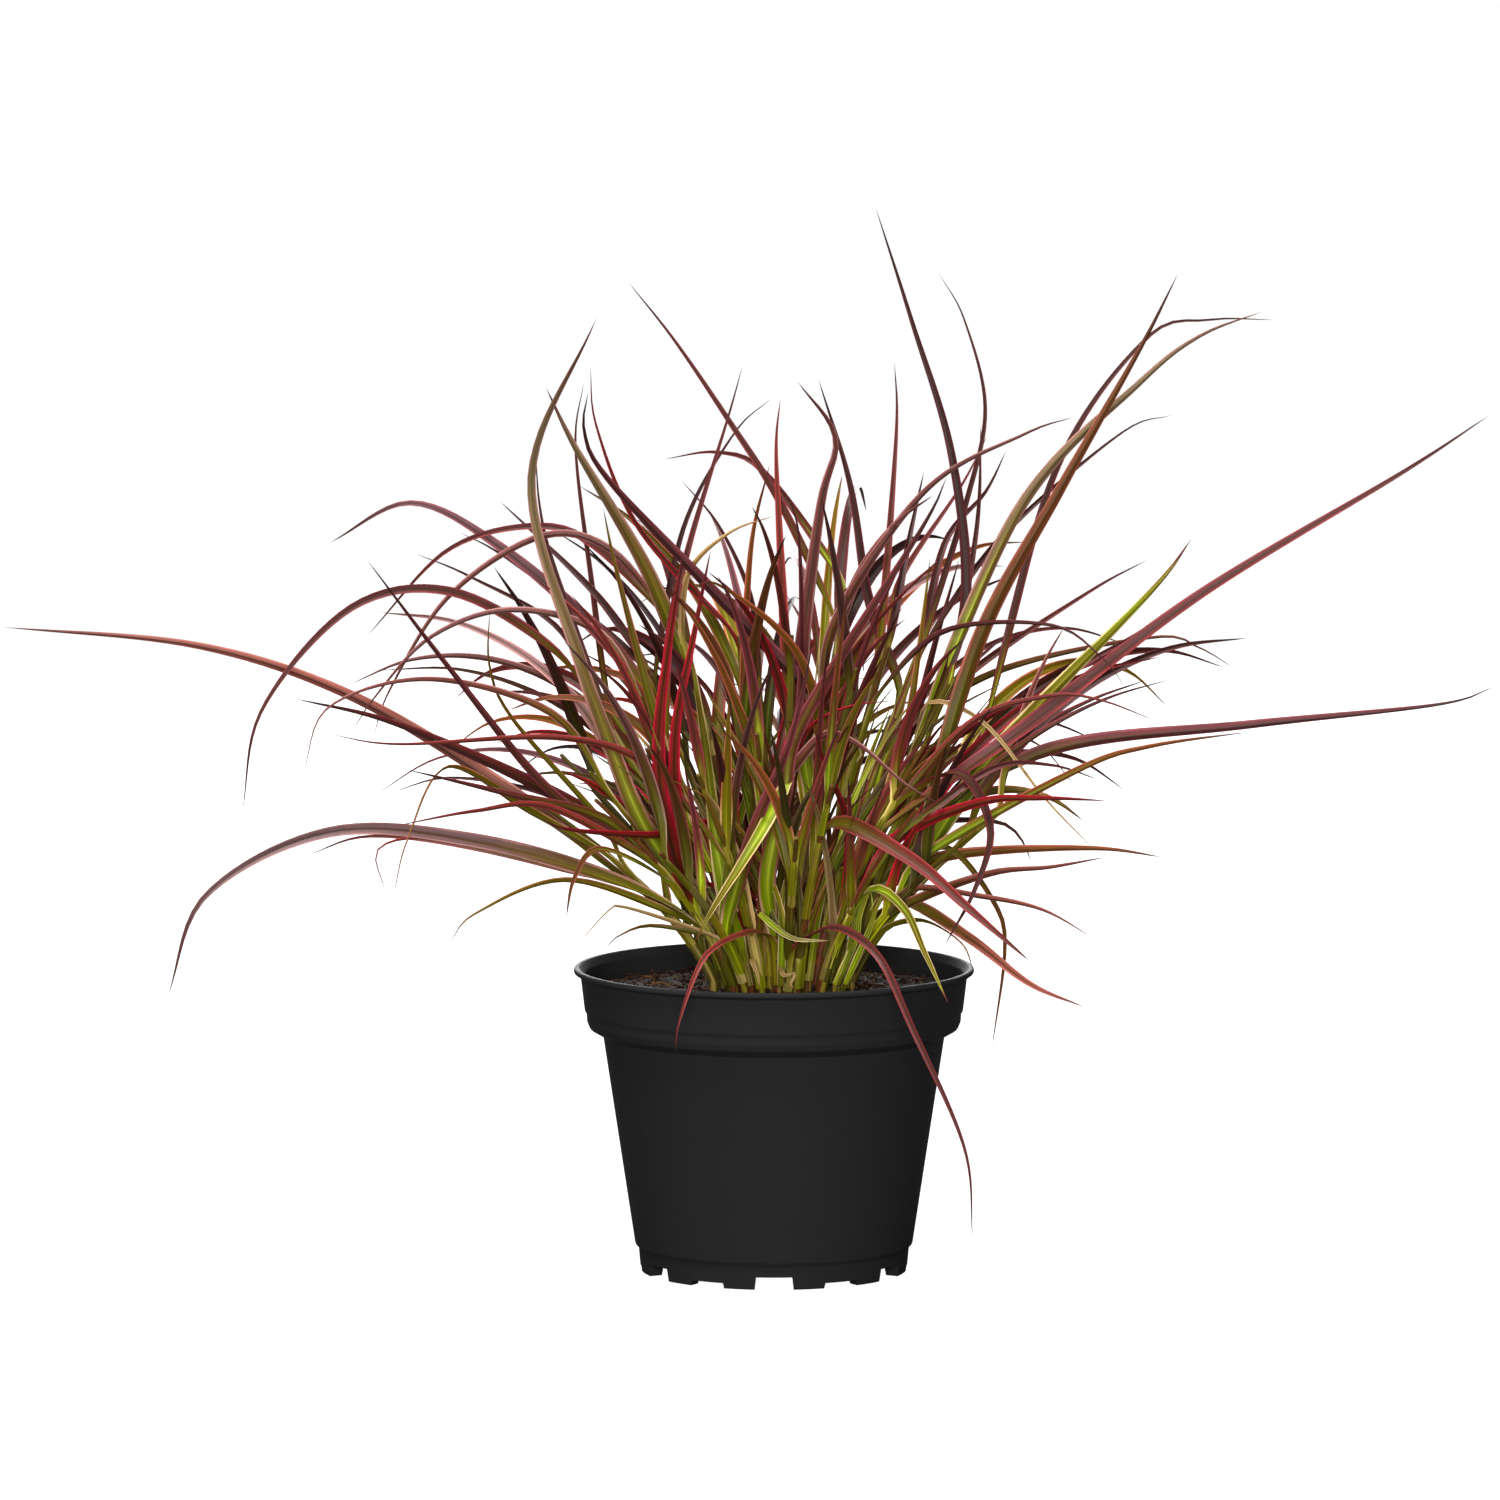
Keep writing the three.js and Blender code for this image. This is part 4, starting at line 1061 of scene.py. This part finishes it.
def makeFibres(material):
    draw = draws(seeds["fibres"])
    points, faces = [], []
    steps, bend = soil["fibreSteps"], soil["fibreCurl"]
    for _ in range(soil["fibres"]):
        spot = topSpot(draw, *soil["crumbRing"])
        heading, length, curl = draw(0, fullTurn), draw(*soil["fibreLength"]), draw(-bend, bend)
        line = [spot + up * draw(0, 0.8)]
        for _ in range(steps):
            heading += curl / steps
            ahead = line[-1] + Vector((math.cos(heading), math.sin(heading), 0)) * length / steps
            if math.hypot(ahead.x, ahead.y) > soil["fibreReach"]:
                break
            ahead.z = soilHeight(ahead.x, ahead.y) + 0.5 + draw(-0.4, 1.2)
            line.append(ahead)
        if len(line) > 3:
            addThread(points, faces, line, draw(*soil["fibreRadius"]))
    fibres = meshObject("soil_fibres", points, faces, material)
    smooth(fibres.data)
    return fibres


def makeMoss(material):
    draw = draws(seeds["moss"])
    points, faces = [], []
    for _ in range(soil["moss"]):
        spot = topSpot(draw, *soil["mossRing"])
        for _ in range(int(draw(2, 6))):
            lean = Vector((draw(-1, 1), draw(-1, 1), draw(0.5, 1.2))).normalized()
            size = draw(*soil["mossLength"])
            line = [spot + lean * size * k / 3 + up * 0.2 for k in range(4)]
            addThread(points, faces, line, draw(*soil["mossRadius"]), 4)
    return meshObject("moss_bits", points, faces, material)


def makeEarthMaterial(name, speckleGroup, dark, light, roughLow, bumpDepth, scale):
    material, w, shader = newMaterial(name)
    place = w.add("ShaderNodeTexCoord").outputs["Object"]
    patch = w.noise(place, scale, 5.0, 0.62)
    base = w.mix(w.mapped(patch, 0.3, 0.7), (*linear(dark), 1), (*linear(light), 1))
    bits = speckle(w, speckleGroup, place, scale * 4, 0.6, 0.08)
    paler = tuple(min(1, channel * 2.2) for channel in linear(light))
    base = w.mix(w.math("MULTIPLY", bits["Mask"], 0.5), base, (*paler, 1))
    w.finish(shader, base, w.mapped(patch, 0.2, 0.8, roughLow, 0.95), 0.17)
    w.bump(shader, bits["Grain"], 0.8, bumpDepth)
    return material


# Loose and dry bits about the foot of the clump: tone, width, and points from the front with depths
scraps = [
    ["dry", 3, [[-43, 192, -40], [-41, 188, -44], [-35, 185, -46], [-29, 183, -46]]],
    ["dry", 2, [[3, 145, -44], [5, 141, -47], [10, 142, -49], [8, 137, -51], [10, 135, -54]]],
    ["dry", 2, [[-11, 149, -42], [-8, 142, -46], [-7, 135, -49]]],
    ["pale", 3, [[-7, 171, -50], [1, 164, -54], [9, 159, -56], [18, 158, -57], [27, 158, -56]]],
    ["pale", 4, [[3, 136, -42], [4, 156, -45], [4, 178, -50], [10, 204, -58]]],
    ["lime", 3, [[29, 137, -36], [39, 158, -42], [41, 170, -46], [46, 182, -46], [47, 172, -48]]],
    ["lime", 3, [[34, 137, -34], [45, 162, -44], [49, 174, -48], [53, 181, -50], [58, 174, -52]]],
    ["lime", 2, [[31, 137, -40], [36, 152, -48], [38, 168, -50], [38, 178, -52]]],
    ["green", 6, [[8, 238, -68], [-4, 214, -86], [-16, 194, -90], [-28, 175, -86], [-38, 157, -78]]],
]


def makeScraps(material):
    skin = Skin()
    for number, (tone, width, points) in enumerate(scraps):
        path = [seen(*point) for point in points]
        addBlade(skin, None, {"path": path, "width": width, "tone": tone}, seeds["scrap"] + number)
    return skin.make("clump_scraps", material)


# Camera, light and floor
view = {
    "eye": (-0.0114, -4.6, 0.7583), "pitch": -6.314, "lens": 233.69, "sensor": 36,
    "world": 0.13, "background": 1.0, "floor": 80, "floorTone": 0.12, "floorGlow": 0.99,
    "target": (0, 0, 0.25), "near": 0.1, "far": 200,
    "lights": {  # place, size and power
        "front": ((-0.1, -2.6, 0.6), 1.0, 60),
        "top": ((-0.4, -0.7, 2.5), 1.2, 84),
        "back": ((-0.1, 2.6, 1.1), 2.0, 96),
    },
}


def makeView():
    camera = bpy.data.cameras.new("camera")
    camera.lens, camera.sensor_width = view["lens"], view["sensor"]
    camera.clip_start, camera.clip_end = view["near"], view["far"]
    holder = bpy.data.objects.new("camera", camera)
    holder.location = view["eye"]
    holder.rotation_euler = (math.radians(90 + view["pitch"]), 0, 0)
    bpy.context.scene.collection.objects.link(holder)
    bpy.context.scene.camera = holder
    bpy.context.scene.view_settings.view_transform = "Standard"
    world = bpy.data.worlds.new("studio")
    world.use_nodes = True
    w = Wires(world.node_tree)
    seenAt = w.add("ShaderNodeLightPath").outputs["Is Camera Ray"]
    sky = world.node_tree.nodes["Background"]
    sky.inputs["Color"].default_value = (1, 1, 1, 1)
    w.put(sky.inputs["Strength"], w.mapped(seenAt, 0, 1, view["world"], view["background"], smooth=False))
    bpy.context.scene.world = world
    for name, (place, size, power) in view["lights"].items():
        light = bpy.data.lights.new(name, "AREA")
        light.shape, light.size, light.energy = "DISK", size, power
        lamp = bpy.data.objects.new(name, light)
        lamp.location = place
        aim = Vector(view["target"]) - Vector(place)
        lamp.rotation_euler = aim.to_track_quat("-Z", "Y").to_euler()
        bpy.context.scene.collection.objects.link(lamp)
    half = view["floor"] / 2 / mm
    corners = [Vector((x, y, 0)) for x, y in ((-half, -half), (half, -half), (half, half), (-half, half))]
    material, w, shader = newMaterial("pale floor")
    w.finish(shader, (*[view["floorTone"]] * 3, 1), 0.9, 0.1)
    shader.inputs["Emission Color"].default_value = (1, 1, 1, 1)
    glow = w.math("MULTIPLY", w.add("ShaderNodeLightPath").outputs["Is Camera Ray"], view["floorGlow"])
    w.put(shader.inputs["Emission Strength"], glow)
    floor = meshObject("floor", corners, [(0, 1, 2, 3)], material)


makeView()
print("view ready")

speckleGroup = makeSpeckleGroup()
veinGroup = makeVeinGroup()
plastic = makePlasticMaterial(speckleGroup)
peat = makeEarthMaterial("peat", speckleGroup, (16, 8, 5), (44, 26, 15), 0.75, 0.0012, 220.0)
crumbFinish = makeEarthMaterial("peat crumbs", speckleGroup, (14, 7, 4), (62, 36, 21), 0.7, 0.0006, 160.0)
fibreFinish = makeEarthMaterial("root fibres", speckleGroup, (62, 34, 20), (122, 84, 50), 0.7, 0.0003, 90.0)
mossFinish = makeEarthMaterial("moss", speckleGroup, (52, 66, 14), (118, 128, 34), 0.7, 0.0003, 120.0)
leaf = makeLeafMaterial(veinGroup)
print("finishes ready")

shell = makePot(plastic)
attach(shell, "root")
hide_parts("pot")
print("pot ready")

for piece in (makeSoil(peat), makeCrumbs(crumbFinish), makeFibres(fibreFinish), makeMoss(mossFinish)):
    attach(piece, "root")
    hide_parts("soil")
print("peat ready")

stems = [Stem(index) for index in range(clump["stems"])]
findBlades(stems)
for stem in stems:
    skin = Skin()
    addStemTube(skin, stem)
    for slot, blade in enumerate(stem.blades):
        addBlade(skin, stem, blade, seeds["blade"] + stem.index * 17 + slot)
    for slot in range(fineBlades["perStem"]):
        addBlade(skin, stem, fineBlade(stem, slot), seeds["fineBlade"] + stem.index * 17 + slot)
    piece = skin.make(f"leafy_stem_fine_{stem.index + 1:02d}", leaf)
    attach(piece, "root")
    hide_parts(stem.node)
bits = makeScraps(leaf)
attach(bits, "root")
print("grass ready")
